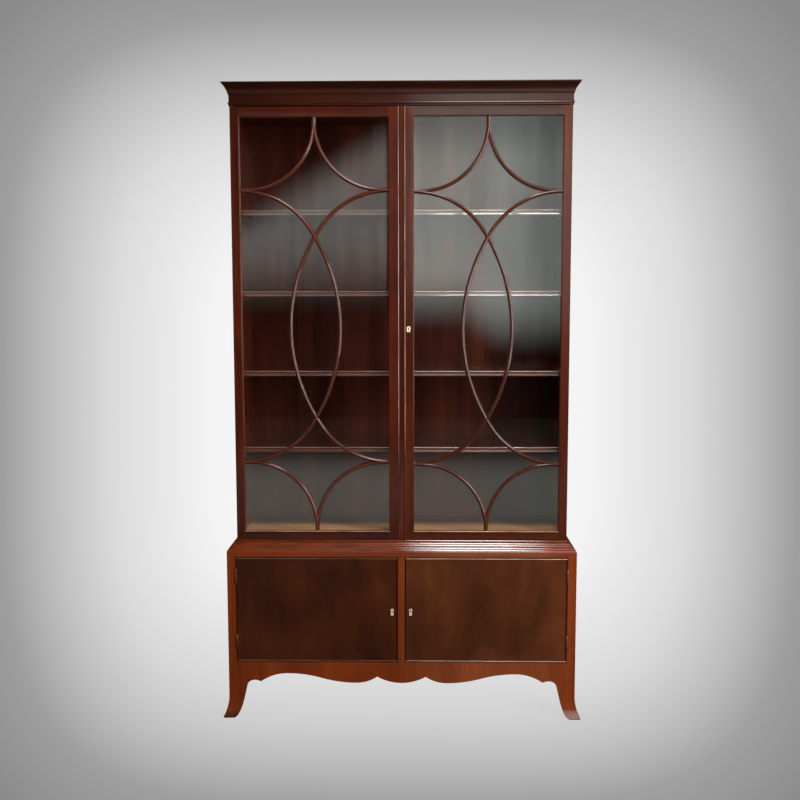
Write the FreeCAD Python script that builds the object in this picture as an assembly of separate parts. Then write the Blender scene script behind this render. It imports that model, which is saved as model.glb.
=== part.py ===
import FreeCAD
import Part
import math
import os

# Two-part display cabinet: a low cupboard on swept bracket feet, with a shaped apron and a reeded
# waist moulding, carries a shallower glazed case with curved tracery doors and a coved cornice.
# Millimetres. X runs to the right, Y towards the wall, Z up. The origin is on the floor at the
# centre of the whole outline. Names that end in share or shares are parts of a named size.

# Overall sizes
total_height = 2213
base_width = 1230
base_depth = 322
base_height = 594
waist_step = 32.5
overrun = 10

# Boards of the lower case
base_side_board = 20
base_frame_depth = 20
base_frame_width = 31
base_board = 20
back_board = 8
muntin_width = 25
muntin_rebate = 12
muntin_tail = 18
base_rail_height = 15
base_stop_lap = 3
base_shelf_board = 18
base_shelf_share = 0.541
base_shelf_setback = 30

# Feet and apron, drawn with a compass: each stretch between two turning points is an arc
foot_width = 114.5
foot_side_width = 96
foot_flare = 18.7
foot_flare_height = 78
foot_toe = 3
foot_toe_width = 46.7
foot_crown_in = 23.5
foot_crown_rise = 5.5
foot_bend_radius = 28
foot_bend_degrees = 75
foot_bracket_board = 18
foot_bracket_width = 110
foot_bracket_height = 100
cusp_height = 127.5
apron_top = 203
apron_low = 124
apron_lobe = 86
apron_lobe_rise = 23
apron_wave_low = 74
apron_wave_high = 245
apron_wave_rise = 34
side_arch_rise = 20

# Lower doors
low_door_gap = 1.5
low_hinge_gap = 1.0
low_door_board = 19.5
cock_bead_width = 3.2
cock_bead_depth = 10
cock_bead_proud = 2
cock_bead_round = 1.2

# Butt hinges of the lower doors
hinge_height = 54
hinge_end = 67
hinge_knuckle_radius = 3
hinge_pin_radius = 1.4
hinge_axis_proud = 2
hinge_leaf = 1.5
hinge_leaf_depth = 16
hinge_knuckles = 3
hinge_knuckle_gap = 0.25
running_gap = 0.05
fixed_gap = 0.1
hinge_slack = 0.3

# Waist moulding
waist_height = 39
waist_fillet = 3
waist_fillet_height = 4
waist_foot = 3
waist_reed_start = 1.5
waist_reed_round = 2.2
waist_quirk_depth = 1.5
waist_reed_shares = (0.0, 0.235, 0.47, 0.53, 0.765, 1.0)

# Upper case
upper_side_board = 18
upper_bottom_board = 19
upper_top_board = 19
door_seat_gap = 1.0
floor_lap = 19.5
top_lap = 16
shelf_board = 19
shelf_setback = 18
shelf_end_gap = 0.5
shelf_level_shares = (0.196, 0.381, 0.572, 0.763)
shelf_bead_radius = 2.6
shelf_edge_sink = 1.5
bearer_width = 12
bearer_height = 14
bearer_end = 12

# Cornice and frieze bead
frieze_height = 76
bead_fillet = 2.5
bead_fillet_height = 4
bead_radius = 4.5
bead_seat = 0.5
cornice_height = 39
cornice_reach = 24.5
cornice_foot = 2.5
cornice_foot_height = 3
cove_width = 8
cove_height = 16
cove_sink = 2.2
cornice_step = 2
cornice_bead_width = 2
cornice_bead_height = 6
cornice_bead_round = 1
cornice_ledge = 1
ovolo_round = 2.2
cornice_lip = 4

# Upper doors
door_board = 22
door_floor_gap = 2.5
door_top_gap = 3
outer_stile = 30
closing_stile = 36.5
lock_stile = 49
bottom_rail = 31.5
top_rail = 33
joint_offset = 5
joint_gap = 1.5
lip_depth = 11
rebate_width = 9
sight_chamfer = 2.5
glass_thickness = 3
glass_edge_gap = 1
glazing_bead_depth = 6
door_back_round = 3
cover_width = 20
cover_proud = 2.5
cover_bead_radius = 2.2

# Tracery of the upper doors
bar_width = 13
bar_height = 7.5
bar_nose = 4.4
corner_arc_gap = 5.75
corner_arc_in = 2
corner_arc_out = 3
oval_reach_share = 0.668
oval_end_share = 0.836
oval_lap = 3
arc_overrun_degrees = 2
quarter_turn_degrees = 90
right_tracery_drop = 6

# Centre pivots of the upper doors
pivot_in = 7
pivot_deep = 7
pivot_plate = 2.5
pivot_plate_length = 42
pivot_plate_width = 10
pivot_plate_end = 1.5
pivot_pin_radius = 2.5
pivot_pin_gap = 0.3

# Locks and escutcheons
lock_height = 46
lock_width = 34
lock_thickness = 9
lock_bolt_height = 14
lock_bolt_thickness = 4
lock_bolt_length = 22
lock_throw = 6
lock_slack = 0.3
key_round = 2.4
key_slot = 2.2
key_drop = 8
escutcheon_board = 2
escutcheon_proud = 0.6
escutcheon_waist_share = 0.72
escutcheon_foot_share = 0.86
upper_key_below = 5
upper_key_in = 30
upper_escutcheon_width = 14
upper_escutcheon_height = 20
low_key_below = 8
low_key_in = 18.5
low_escutcheon_width = 11.5
low_escutcheon_height = 25

# Slide bolts of the left upper door
slide_plate = 2
slide_width = 16
slide_length = 70
slide_bar_width = 8
slide_bar_thickness = 4
slide_keeper = 2
slide_keeper_height = 12
slide_gap = 0.2
slide_throw = 12
slide_rest_gap = 1.5
slide_socket_gap = 0.5
slide_knob_radius = 3.5
slide_knob_length = 7
slide_lead = 24
slide_edge = 13.8

# Places worked out from the sizes
half_base = base_width / 2
half_upper = half_base - waist_step
back_y = (base_depth + foot_flare) / 2
base_front = back_y - base_depth
upper_front = base_front + waist_step
frieze_bottom = total_height - frieze_height
waist_top = base_height + waist_height
case_front = upper_front + door_board + door_seat_gap
door_back = upper_front + door_board
door_bottom = waist_top + door_floor_gap
door_top = frieze_bottom - door_top_gap
glass_bottom = door_bottom + bottom_rail
glass_top = door_top - top_rail
left_close = -joint_offset - joint_gap / 2
right_close = -joint_offset + joint_gap / 2
low_floor = apron_top + base_stop_lap
low_frame_back = base_front + base_frame_depth
upper_floor = door_bottom + floor_lap
upper_ceiling = door_top - top_lap
upper_room = upper_ceiling - upper_floor
shelf_levels = [upper_floor + share * upper_room for share in shelf_level_shares]
shelf_front = case_front + shelf_setback
back_face = back_y - back_board
base_shelf_front = low_frame_back + muntin_tail + base_shelf_setback
low_door_bottom = apron_top + low_door_gap
low_door_top = base_height - base_rail_height - low_door_gap
low_ceiling = base_height - base_board
base_shelf_level = low_floor + base_shelf_share * (low_ceiling - low_floor)
low_hinge_x = half_base - base_frame_width - low_hinge_gap / 2
low_hinge_y = base_front - hinge_axis_proud
hinge_levels = (low_door_bottom + hinge_end, low_door_top - hinge_end)


def vec(x, y, z):
    return FreeCAD.Vector(x, y, z)


def box(x0, x1, y0, y1, z0, z1):
    """A box between two values on each axis, given in any order."""
    low = vec(min(x0, x1), min(y0, y1), min(z0, z1))
    return Part.makeBox(abs(x1 - x0), abs(y1 - y0), abs(z1 - z0), low)


def upright(x, y, z0, z1, radius):
    return Part.makeCylinder(radius, abs(z1 - z0), vec(x, y, min(z0, z1)))


def line(a, b):
    return Part.makeLine(a, b)


def arc(a, middle, b):
    return Part.Arc(a, middle, b).toShape()


def chain(points):
    """Straight edges from each point to the next."""
    return [line(a, b) for a, b in zip(points, points[1:])]


def face(edges):
    """A flat face within edges that close on each other, given in any order."""
    return Part.Face(Part.Wire(Part.sortEdges(edges)[0]))


def prism(edges, x=0, y=0, z=0):
    return face(edges).extrude(vec(x, y, z))


def plan_prism(points, z0, z1):
    """An upright prism over a closed outline given as points of the floor plan."""
    corners = [vec(x, y, z0) for x, y in points]
    return prism(chain(corners + corners[:1]), z=z1 - z0)


def mirror_x(shape, x=0):
    return shape.mirror(vec(x, 0, 0), vec(1, 0, 0))


def export(name, *solids):
    """Writes one node, as its single solid or as a group of separate solids."""
    shape = solids[0] if len(solids) == 1 else Part.makeCompound(list(solids))
    shape.exportStep(os.path.join("parts", name + ".step"))


def on_front(u, z):
    """A point of the front view, where u runs to the right."""
    return vec(u, 0, z)


def on_front_left(u, z):
    """A point of the front view, where u runs to the left."""
    return vec(-u, 0, z)


def on_side(u, z):
    """A point of the side view, where u runs forward."""
    return vec(0, -u, z)


def on_rear(u, z):
    """A point of the side view, where u runs backward."""
    return vec(0, u, z)


def outer_edges(place, outer, flare, top):
    """The outer line of a foot from its top down to the floor, straight or swept out at the toe."""
    if not flare:
        return chain([place(outer, top), place(outer, 0)])
    sweep = (foot_flare_height - foot_toe) / 2
    radius = ((foot_flare_height - foot_toe) ** 2 + flare ** 2) / (2 * flare)
    middle = radius - math.sqrt(radius ** 2 - sweep ** 2)
    start = place(outer, foot_flare_height)
    end = place(outer + flare, foot_toe)
    bend = arc(start, place(outer + middle, foot_flare_height - sweep), end)
    return [line(place(outer, top), start), bend, line(end, place(outer + flare, 0))]


def arc_from(place, start, tangent_degrees, end):
    """An arc that leaves start in a known direction and ends at end."""
    turn = math.radians(tangent_degrees)
    run = math.dist(start, end)
    chord = math.atan2(end[1] - start[1], end[0] - start[0])
    lift = run / 2 * math.tan((turn - chord) / 2)
    middle = sagitta_point(start, end, lift)
    return arc(place(*start), place(*middle), place(*end))


def sagitta_point(a, b, lift):
    """The middle of an arc from a to b, lifted to the left of the chord."""
    run = math.dist(a, b)
    return (
        (a[0] + b[0]) / 2 - (b[1] - a[1]) / run * lift,
        (a[1] + b[1]) / 2 + (b[0] - a[0]) / run * lift,
    )


def foot_edges(place, outer, cusp, flare, top):
    """The closed outline of one wing of a bracket foot. Its inner edge rises from the cusp to a
    crown, bends down and sweeps out to the toe."""
    crown = (cusp + foot_crown_in, cusp_height + foot_crown_rise)
    bend = math.radians(foot_bend_degrees)
    bend_end = (
        crown[0] + foot_bend_radius * math.sin(bend),
        crown[1] - foot_bend_radius * (1 - math.cos(bend)),
    )
    toe = (outer + foot_flare - foot_toe_width, 0)
    edges = chain([place(cusp, cusp_height), place(cusp, top), place(outer, top)])
    edges += outer_edges(place, outer, flare, top)
    edges.append(line(place(outer + flare, 0), place(*toe)))
    edges.append(arc_from(place, bend_end, -foot_bend_degrees, toe))
    edges.append(arc_from(place, crown, 0, bend_end))
    edges.append(arc_from(place, crown, quarter_turn_degrees * 2, (cusp, cusp_height)))
    return edges


def band_edges(place, outer, flare, top, thickness):
    """The section of a wing: a board that follows the sweep of the toe."""
    edges = outer_edges(place, outer, flare, top)
    edges.append(line(place(outer + flare, 0), place(outer + flare - thickness, 0)))
    inner = outer_edges(place, outer - thickness, flare, top)
    edges += inner[::-1]
    edges.append(line(place(outer - thickness, top), place(outer, top)))
    return edges


def wing_front(top):
    reach = base_depth
    outline = prism(foot_edges(on_front, half_base, half_base - foot_width, foot_flare, top), y=-reach)
    outline.translate(vec(0, back_y - foot_flare, 0))
    section = prism(band_edges(on_side, -base_front, foot_flare, top, base_frame_depth), x=base_width)
    return outline.common(section)


def wing_side(place, outer, flare, top):
    outline = prism(foot_edges(place, outer, outer - foot_side_width, flare, top), x=base_width)
    section = prism(band_edges(on_front, half_base, foot_flare, top, base_side_board), y=base_depth * 2)
    section.translate(vec(0, -base_depth, 0))
    return outline.common(section)


def front_foot():
    side = wing_side(on_side, -base_front, foot_flare, low_floor - base_board)
    return wing_front(apron_top).fuse(side).removeSplitter()


def rear_foot():
    top = low_floor - base_board
    side = wing_side(on_rear, back_y, 0, top)
    inside = half_base - base_side_board
    low = (inside, top - foot_bracket_height)
    far = (inside - foot_bracket_width, top)
    edges = chain([on_front(*low), on_front(inside, top), on_front(*far)])
    edges.append(arc_from(on_front, far, 0, low))
    bracket = prism(edges, y=foot_bracket_board)
    bracket.translate(vec(0, back_y - foot_bracket_board, 0))
    return side.fuse(bracket).removeSplitter()


def front_apron():
    """The board between the front feet: a centre lobe, then on each side a hollow that runs in an
    even double curve up to a crown, and down again to the foot's cusp."""
    cusp = half_base - foot_width
    lobe = (apron_lobe, apron_low + apron_lobe_rise)
    low = (apron_lobe + apron_wave_low, apron_low)
    high = (low[0] + apron_wave_high, apron_low + apron_wave_rise)
    middle = ((low[0] + high[0]) / 2, (low[1] + high[1]) / 2)
    edges = chain([on_front(cusp, cusp_height), on_front(cusp, apron_top)])
    edges.append(line(on_front(cusp, apron_top), on_front(-cusp, apron_top)))
    edges.append(line(on_front(-cusp, apron_top), on_front(-cusp, cusp_height)))
    edges.append(arc(on_front(*lobe), on_front(0, apron_low), on_front(-lobe[0], lobe[1])))
    for place in (on_front, on_front_left):
        edges.append(arc_from(place, low, quarter_turn_degrees * 2, lobe))
        edges.append(arc_from(place, low, 0, middle))
        edges.append(arc_from(place, high, quarter_turn_degrees * 2, middle))
        edges.append(arc_from(place, high, 0, (cusp, cusp_height)))
    apron = prism(edges, y=base_frame_depth)
    apron.translate(vec(0, base_front, 0))
    return apron


def side_apron():
    front = base_front + foot_side_width
    rear = back_y - foot_side_width
    top = low_floor - base_board
    arch = arc(
        vec(0, front, cusp_height),
        vec(0, (front + rear) / 2, cusp_height + side_arch_rise),
        vec(0, rear, cusp_height),
    )
    corners = [vec(0, rear, cusp_height), vec(0, rear, top), vec(0, front, top), vec(0, front, cusp_height)]
    apron = prism([arch] + chain(corners), x=base_side_board)
    apron.translate(vec(half_base - base_side_board, 0, 0))
    return apron


def make_base():
    """Boards, frame and feet of the lower case, with the cuts that its hinges and locks need."""
    inside = half_base - base_side_board
    side = box(inside, half_base, low_frame_back, back_y, low_floor - base_board, base_height)
    stile = box(
        half_base - base_frame_width, half_base, base_front, low_frame_back, apron_top, base_height
    )
    stile = cut_all(stile, [hinge_room(z) for z in hinge_levels])
    export("base_side_right", side)
    export("base_side_left", mirror_x(side))
    for name, foot in (("front_feet", front_foot()), ("rear_feet", rear_foot())):
        export(name, foot, mirror_x(foot))
    export("base_stiles", stile, mirror_x(stile))
    export("side_aprons", side_apron(), mirror_x(side_apron()))
    export("front_apron", front_apron())

    muntin = box(
        -muntin_width / 2, muntin_width / 2, base_front, low_frame_back, apron_top,
        base_height - base_rail_height,
    )
    half_tail = muntin_width / 2 + muntin_rebate
    tail_back = low_frame_back + muntin_tail
    muntin = muntin.fuse(box(-half_tail, half_tail, low_frame_back, tail_back, low_floor, low_ceiling))
    mortise = low_lock["mortise"]
    export("base_centre_muntin", cut_all(muntin, [mortise, mirror_x(mortise)]))

    frame_in = half_base - base_frame_width
    rail_bottom = base_height - base_rail_height
    export("base_top_rail", box(-frame_in, frame_in, base_front, low_frame_back, rail_bottom, base_height))
    export(
        "base_bottom_board",
        box(-inside, inside, low_frame_back, back_face, low_floor - base_board, low_floor),
    )
    export("base_top_board", box(-inside, inside, low_frame_back, back_face, low_ceiling, base_height))
    export("base_back_panel", box(-inside, inside, back_face, back_y, low_floor - base_board, base_height))
    shelf_in = inside - shelf_end_gap
    shelf_top = base_shelf_level + base_shelf_board
    export(
        "base_shelf",
        box(-shelf_in, shelf_in, base_shelf_front, back_face, base_shelf_level, shelf_top),
    )


def bearer(inside, front, level):
    """The batten on the right side board that carries the end of a shelf."""
    near = front + bearer_end
    return box(inside - bearer_width, inside, near, back_face, level - bearer_height, level)


def cut_all(shape, cutters):
    for cutter in cutters:
        shape = shape.cut(cutter)
    return shape


def hinge_room(level):
    """The pocket for a hinge's leaf, with room for the knuckles to turn."""
    low = level - hinge_height / 2
    high = level + hinge_height / 2
    leaf_far = low_hinge_y + hinge_knuckle_radius + hinge_slack + hinge_leaf_depth
    half_room = low_hinge_gap / 2 + hinge_leaf
    leaf = box(low_hinge_x - half_room, low_hinge_x + half_room, low_hinge_y, leaf_far, low, high)
    turn = upright(low_hinge_x, low_hinge_y, low, high, hinge_knuckle_radius + hinge_slack)
    return leaf.fuse(turn)


def hinge_leaves(level):
    """One right-hand butt hinge: the case leaf with the pin in it, and the door leaf."""
    pitch = hinge_height / hinge_knuckles
    base = level - hinge_height / 2
    near = low_hinge_y + hinge_knuckle_radius + hinge_slack
    far = near + hinge_leaf_depth
    inner = hinge_knuckle_gap / 2
    outer = low_hinge_gap / 2 + hinge_leaf
    leaves = []
    for start, way in ((0, 1), (1, -1)):
        x0 = low_hinge_x + way * inner
        x1 = low_hinge_x + way * outer
        leaf = box(x0, x1, near, far, base, base + hinge_height)
        for n in range(start, hinge_knuckles, 2):
            low = base + n * pitch + inner
            high = base + (n + 1) * pitch - inner
            leaf = leaf.fuse(upright(low_hinge_x, low_hinge_y, low, high, hinge_knuckle_radius))
            leaf = leaf.fuse(box(x0, x1, low_hinge_y, near, low, high))
        leaves.append(leaf)
    pin = upright(low_hinge_x, low_hinge_y, base + inner, base + hinge_height - inner, hinge_pin_radius)
    bore = upright(
        low_hinge_x, low_hinge_y, base, base + hinge_height, hinge_pin_radius + running_gap
    )
    return leaves[0].fuse(pin).removeSplitter(), leaves[1].cut(bore).removeSplitter()


def keyhole_prism(x, z, near, far):
    """The key's own hole: a round hole over a slot."""
    hole = Part.makeCylinder(key_round, far - near, vec(x, near, z), vec(0, 1, 0))
    return hole.fuse(box(x - key_slot / 2, x + key_slot / 2, near, far, z - key_drop, z))


def key_well(x, z, near, far):
    """The plain well that the key passes through behind its escutcheon."""
    return box(x - key_round, x + key_round, near, far, z - key_drop, z + key_round)


def escutcheon_prism(x, z, width, height, near, far, gap=0):
    """A plate of keyhole shape: a disc over a skirt that narrows and spreads again."""
    radius = width / 2
    centre = z + height / 2 - radius
    foot_level = z - height / 2 - gap
    waist = radius * escutcheon_waist_share + gap
    foot = radius * escutcheon_foot_share + gap
    disc = Part.makeCylinder(radius + gap, far - near, vec(x, near, centre), vec(0, 1, 0))
    points = [(waist, centre), (foot, foot_level), (-foot, foot_level), (-waist, centre)]
    corners = [vec(x + u, near, v) for u, v in points]
    return disc.fuse(prism(chain(corners + corners[:1]), y=far - near)).removeSplitter(), centre


def lock_set(edge, way, key_x, key_z, width, height, front, back, strike):
    """A cut lock let into the back of a door's closing stile, whose edge is at edge and whose bolt
    leaves towards way, with its escutcheon, and the mortise in what it locks into at strike."""
    plate_span = (front - escutcheon_proud, front + escutcheon_board - escutcheon_proud)
    plate, key_centre = escutcheon_prism(key_x, key_z, width, height, *plate_span)
    pocket, key_centre = escutcheon_prism(key_x, key_z, width, height, *plate_span, fixed_gap)
    hole = keyhole_prism(key_x, key_centre, *plate_span)
    well = key_well(key_x, key_centre, front, back - lock_thickness)
    inner = edge - way * lock_width
    case = box(edge, inner, back - lock_thickness, back, key_z - lock_height / 2, key_z + lock_height / 2)
    middle = back - lock_thickness / 2
    deep = lock_bolt_thickness / 2
    tall = lock_bolt_height / 2
    bolt_near = edge - way * lock_slack
    bolt_far = bolt_near - way * lock_bolt_length
    bolt = box(bolt_near, bolt_far, middle - deep, middle + deep, key_z - tall, key_z + tall)
    slack_deep = deep + lock_slack
    slack_tall = tall + lock_slack
    channel = box(
        edge, bolt_far - way * lock_slack, middle - slack_deep, middle + slack_deep,
        key_z - slack_tall, key_z + slack_tall,
    )
    mortise = box(
        strike, edge + way * (lock_throw + lock_slack), middle - slack_deep, middle + slack_deep,
        key_z - slack_tall, key_z + slack_tall,
    )
    keyway = key_well(key_x, key_centre, back - lock_thickness, middle - slack_deep)
    return {
        "escutcheon": plate.cut(hole),
        "case": case.cut(channel).cut(keyway),
        "bolt": bolt,
        "mortise": mortise,
        "room": [case, well, pocket],
    }


def low_doors():
    """Both lower doors, made as the right one and mirrored."""
    x0 = muntin_width / 2 + low_door_gap
    x1 = half_base - base_frame_width - low_hinge_gap
    back = base_front + low_door_board
    step_back = base_front + cock_bead_depth
    rim = cock_bead_width
    panel = box(x0 + rim, x1 - rim, base_front, back, low_door_bottom + rim, low_door_top - rim)
    panel = panel.fuse(box(x0, x1, step_back, back, low_door_bottom, low_door_top)).removeSplitter()
    beads = cock_beads(x0, x1, low_door_bottom, low_door_top)
    rooms = [hinge_room(z) for z in hinge_levels]
    panel = cut_all(panel, rooms + low_lock["room"])
    beads = [cut_all(bead, rooms) for bead in beads]
    hinges = [hinge_leaves(z) for z in hinge_levels]
    case_leaves = [pair[0] for pair in hinges]
    door_leaves = [pair[1] for pair in hinges]
    nodes = {
        "door_panel": [panel],
        "cock_bead": beads,
        "hinge_leaves": door_leaves,
        "escutcheon": [low_lock["escutcheon"]],
        "lock": [low_lock["case"]],
        "lock_bolt": [low_lock["bolt"]],
    }
    for name, solids in nodes.items():
        export("lower_right_" + name, *solids)
        export("lower_left_" + name, *[mirror_x(s) for s in solids])
    export("lower_hinge_case_leaves", *case_leaves, *[mirror_x(s) for s in case_leaves])


def cock_beads(x0, x1, z0, z1):
    """Four mitred strips with an eased nose, let into the front edges of a lower door."""
    near = base_front - cock_bead_proud
    far = base_front + cock_bead_depth
    w = cock_bead_width
    r = cock_bead_round
    xm = (x0 + x1) / 2
    zm = (z0 + z1) / 2

    def strip(place, half_long, half_wide):
        def at(u, y):
            return place(half_wide - u, y, -half_long)

        points = [at(0, near + r), at(0, far), at(w, far), at(w, near + r), at(w - r, near), at(r, near)]
        edges = chain(points + points[:1])
        run = face(edges).extrude(place(0, 0, half_long * 2) - place(0, 0, 0))
        short = half_long - w
        keep = [(half_wide, -half_long), (half_wide, half_long)]
        keep += [(half_wide - w, short), (half_wide - w, -short)]
        corners = [place(a, near, b) for a, b in keep]
        depth = vec(0, far - near, 0)
        return run.common(face(chain(corners + corners[:1])).extrude(depth))

    def right(a, y, b):
        return vec(xm + a, y, zm + b)

    def left(a, y, b):
        return vec(xm - a, y, zm + b)

    def upper(a, y, b):
        return vec(xm + b, y, zm + a)

    def lower(a, y, b):
        return vec(xm + b, y, zm - a)

    half_x = (x1 - x0) / 2
    half_z = (z1 - z0) / 2
    return [
        strip(right, half_z, half_x),
        strip(left, half_z, half_x),
        strip(upper, half_x, half_z),
        strip(lower, half_x, half_z),
    ]


def mitred_lengths(edges_of, projection, z0, z1):
    """A moulding round the front and both sides of the upper case: edges_of draws its section
    from a function that places a point by its distance out from the case and its height."""
    reach = projection + overrun

    def front(out, z):
        return vec(-half_upper - reach, upper_front - out, z)

    def side(out, z):
        return vec(half_upper + out, upper_front - reach, z)

    run = face(edges_of(front)).extrude(vec(2 * (half_upper + reach), 0, 0))
    near = upper_front - reach
    far = half_upper + reach
    plan = [(-half_upper, upper_front), (half_upper, upper_front), (far, near), (-far, near)]
    front_piece = run.common(plan_prism(plan, z0, z1))
    run = face(edges_of(side)).extrude(vec(0, back_y - near, 0))
    plan = [(half_upper, upper_front), (far, near), (far, back_y), (half_upper, back_y)]
    side_piece = run.common(plan_prism(plan, z0, z1))
    return [front_piece, side_piece, mirror_x(side_piece)]


def waist_edges(at):
    """Fillet, then reeds in two pairs down a slope, and a short upright foot."""
    top = waist_top
    start = (waist_fillet + waist_reed_start, top - waist_fillet_height)
    end = (waist_step, base_height + waist_foot)
    run = math.dist(start, end)
    normal = ((start[1] - end[1]) / run, (end[0] - start[0]) / run)

    def along(share, lift=0):
        out = start[0] + (end[0] - start[0]) * share + normal[0] * lift
        return at(out, start[1] + (end[1] - start[1]) * share + normal[1] * lift)

    low, middle_low, middle, middle_high, upper_pair, high = waist_reed_shares
    edges = chain([at(0, base_height), at(0, top), at(waist_fillet, top),
                   at(waist_fillet, top - waist_fillet_height), along(low)])
    for a, b in ((low, middle_low), (middle_low, middle)):
        edges.append(arc(along(a), along((a + b) / 2, waist_reed_round), along(b)))
    quirk = (middle + middle_high) / 2
    edges += chain([along(middle), along(quirk, -waist_quirk_depth), along(middle_high)])
    for a, b in ((middle_high, upper_pair), (upper_pair, high)):
        edges.append(arc(along(a), along((a + b) / 2, waist_reed_round), along(b)))
    edges += chain([along(high), at(waist_step, base_height), at(0, base_height)])
    return edges


def cornice_edges(at):
    """From the frieze up: fillet, cove, small bead, ovolo and a thin lip."""
    low = total_height - cornice_height
    cove_low = (cornice_foot, low + cornice_foot_height)
    cove_high = (cornice_foot + cove_width, cove_low[1] + cove_height)
    bead_low = (cove_high[0] + cornice_step, cove_high[1])
    bead_high = (bead_low[0] + cornice_bead_width, bead_low[1] + cornice_bead_height)
    ovolo_low = (bead_high[0] + cornice_ledge, bead_high[1])
    ovolo_high = (cornice_reach, total_height - cornice_lip)
    edges = chain([at(0, low), at(cornice_foot, low), at(*cove_low)])
    edges.append(arc(at(*cove_low), at(*sagitta_point(cove_low, cove_high, cove_sink)), at(*cove_high)))
    edges.append(line(at(*cove_high), at(*bead_low)))
    bend = sagitta_point(bead_low, bead_high, -cornice_bead_round)
    edges.append(arc(at(*bead_low), at(*bend), at(*bead_high)))
    edges.append(line(at(*bead_high), at(*ovolo_low)))
    bend = sagitta_point(ovolo_low, ovolo_high, -ovolo_round)
    edges.append(arc(at(*ovolo_low), at(*bend), at(*ovolo_high)))
    edges += chain([at(*ovolo_high), at(cornice_reach, total_height), at(0, total_height), at(0, low)])
    return edges


def bead_edges(at):
    """The half-round bead under the frieze, with a fillet below it."""
    low = frieze_bottom
    nose_low = low + bead_fillet_height
    nose_high = nose_low + 2 * bead_radius
    edges = chain([at(0, low), at(bead_fillet, low), at(bead_fillet, nose_low), at(bead_seat, nose_low)])
    nose = at(bead_seat + bead_radius, nose_low + bead_radius)
    edges.append(arc(at(bead_seat, nose_low), nose, at(bead_seat, nose_high)))
    edges += chain([at(bead_seat, nose_high), at(0, nose_high), at(0, low)])
    return edges


def shelf(level, inside):
    """A shelf on its pegs, whose front edge carries two beads with a sunk flat between."""
    top = level + shelf_board
    r = shelf_bead_radius
    deep = shelf_front + shelf_edge_sink

    def at(y, z):
        return vec(-inside, y, z)

    outer = [at(shelf_front + r, level), at(back_face, level), at(back_face, top), at(shelf_front + r, top)]
    inner = [at(shelf_front, top - r), at(shelf_front, top - 2 * r), at(deep, top - 2 * r)]
    inner += [at(deep, level + 2 * r), at(shelf_front, level + 2 * r), at(shelf_front, level + r)]
    ease = r - r / math.sqrt(2)
    edges = chain(outer) + chain(inner)
    edges.append(arc(outer[-1], at(shelf_front + ease, top - ease), inner[0]))
    edges.append(arc(inner[-1], at(shelf_front + ease, level + ease), outer[0]))
    return prism(edges, x=2 * inside)


def make_upper_case():
    inside = half_upper - upper_side_board
    side = box(inside, half_upper, case_front, back_y, base_height, total_height)
    export("upper_side_right", side)
    export("upper_side_left", mirror_x(side))
    bearers = [bearer(inside, shelf_front, level) for level in shelf_levels]
    bearers.append(bearer(half_base - base_side_board, base_shelf_front, base_shelf_level))
    export("shelf_bearers", *bearers, *[mirror_x(b) for b in bearers])

    floor = box(-inside, inside, case_front, back_face, upper_floor - upper_bottom_board, upper_floor)
    ceiling = box(-inside, inside, case_front, back_face, upper_ceiling, upper_ceiling + upper_top_board)
    export("upper_bottom_board", floor.cut(slide_bolts["sockets"][1]))
    export("upper_top_board", ceiling.cut(slide_bolts["sockets"][0]))
    export("upper_back_panel", box(-inside, inside, back_face, back_y, base_height, total_height))

    plates = [pivot["plate_room"] for pivot in pivots]
    rooms = plates + [mirror_x(p) for p in plates]
    plinth = box(-half_upper, half_upper, upper_front, case_front, base_height, waist_top)
    frieze = box(-half_upper, half_upper, upper_front, case_front, frieze_bottom, total_height)
    export("upper_plinth_rail", cut_all(plinth, rooms))
    export("frieze_rail", cut_all(frieze, rooms))
    for number, level in enumerate(shelf_levels, start=1):
        export("shelf_%d" % number, shelf(level, inside - shelf_end_gap))

    export("waist_moulding", *mitred_lengths(waist_edges, waist_step, base_height, waist_top))
    cornice_bottom = total_height - cornice_height
    cornice = mitred_lengths(cornice_edges, cornice_reach, cornice_bottom, total_height)
    bead = mitred_lengths(bead_edges, bead_seat + bead_radius, frieze_bottom, cornice_bottom)
    export("cornice", *cornice, *bead)
    sockets = [pivot["case"] for pivot in pivots]
    export("upper_pivot_sockets", *sockets, *[mirror_x(s) for s in sockets])


def make_pivot(door_edge, case_edge, way):
    """One centre pivot of the right door: a plate and pin in the door's edge, a socket plate in the
    case. way is 1 where the case plate is above the door and -1 where it is below."""
    x = half_upper - pivot_in
    y = upper_front + pivot_deep
    far = half_upper - pivot_plate_end
    near = far - pivot_plate_length
    y0 = y - pivot_plate_width / 2
    y1 = y + pivot_plate_width / 2
    door_plate = box(near, far, y0, y1, door_edge - way * pivot_plate, door_edge)
    case_plate = box(near, far, y0, y1, case_edge, case_edge + way * pivot_plate)
    pin_end = case_edge + way * (pivot_plate - pivot_pin_gap)
    pin = upright(x, y, door_edge, pin_end, pivot_pin_radius)
    hole = upright(x, y, case_edge, case_edge + way * pivot_plate, pivot_pin_radius + running_gap)
    return {
        "door": door_plate.fuse(pin),
        "case": case_plate.cut(hole),
        "door_room": door_plate,
        "plate_room": case_plate,
    }


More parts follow.
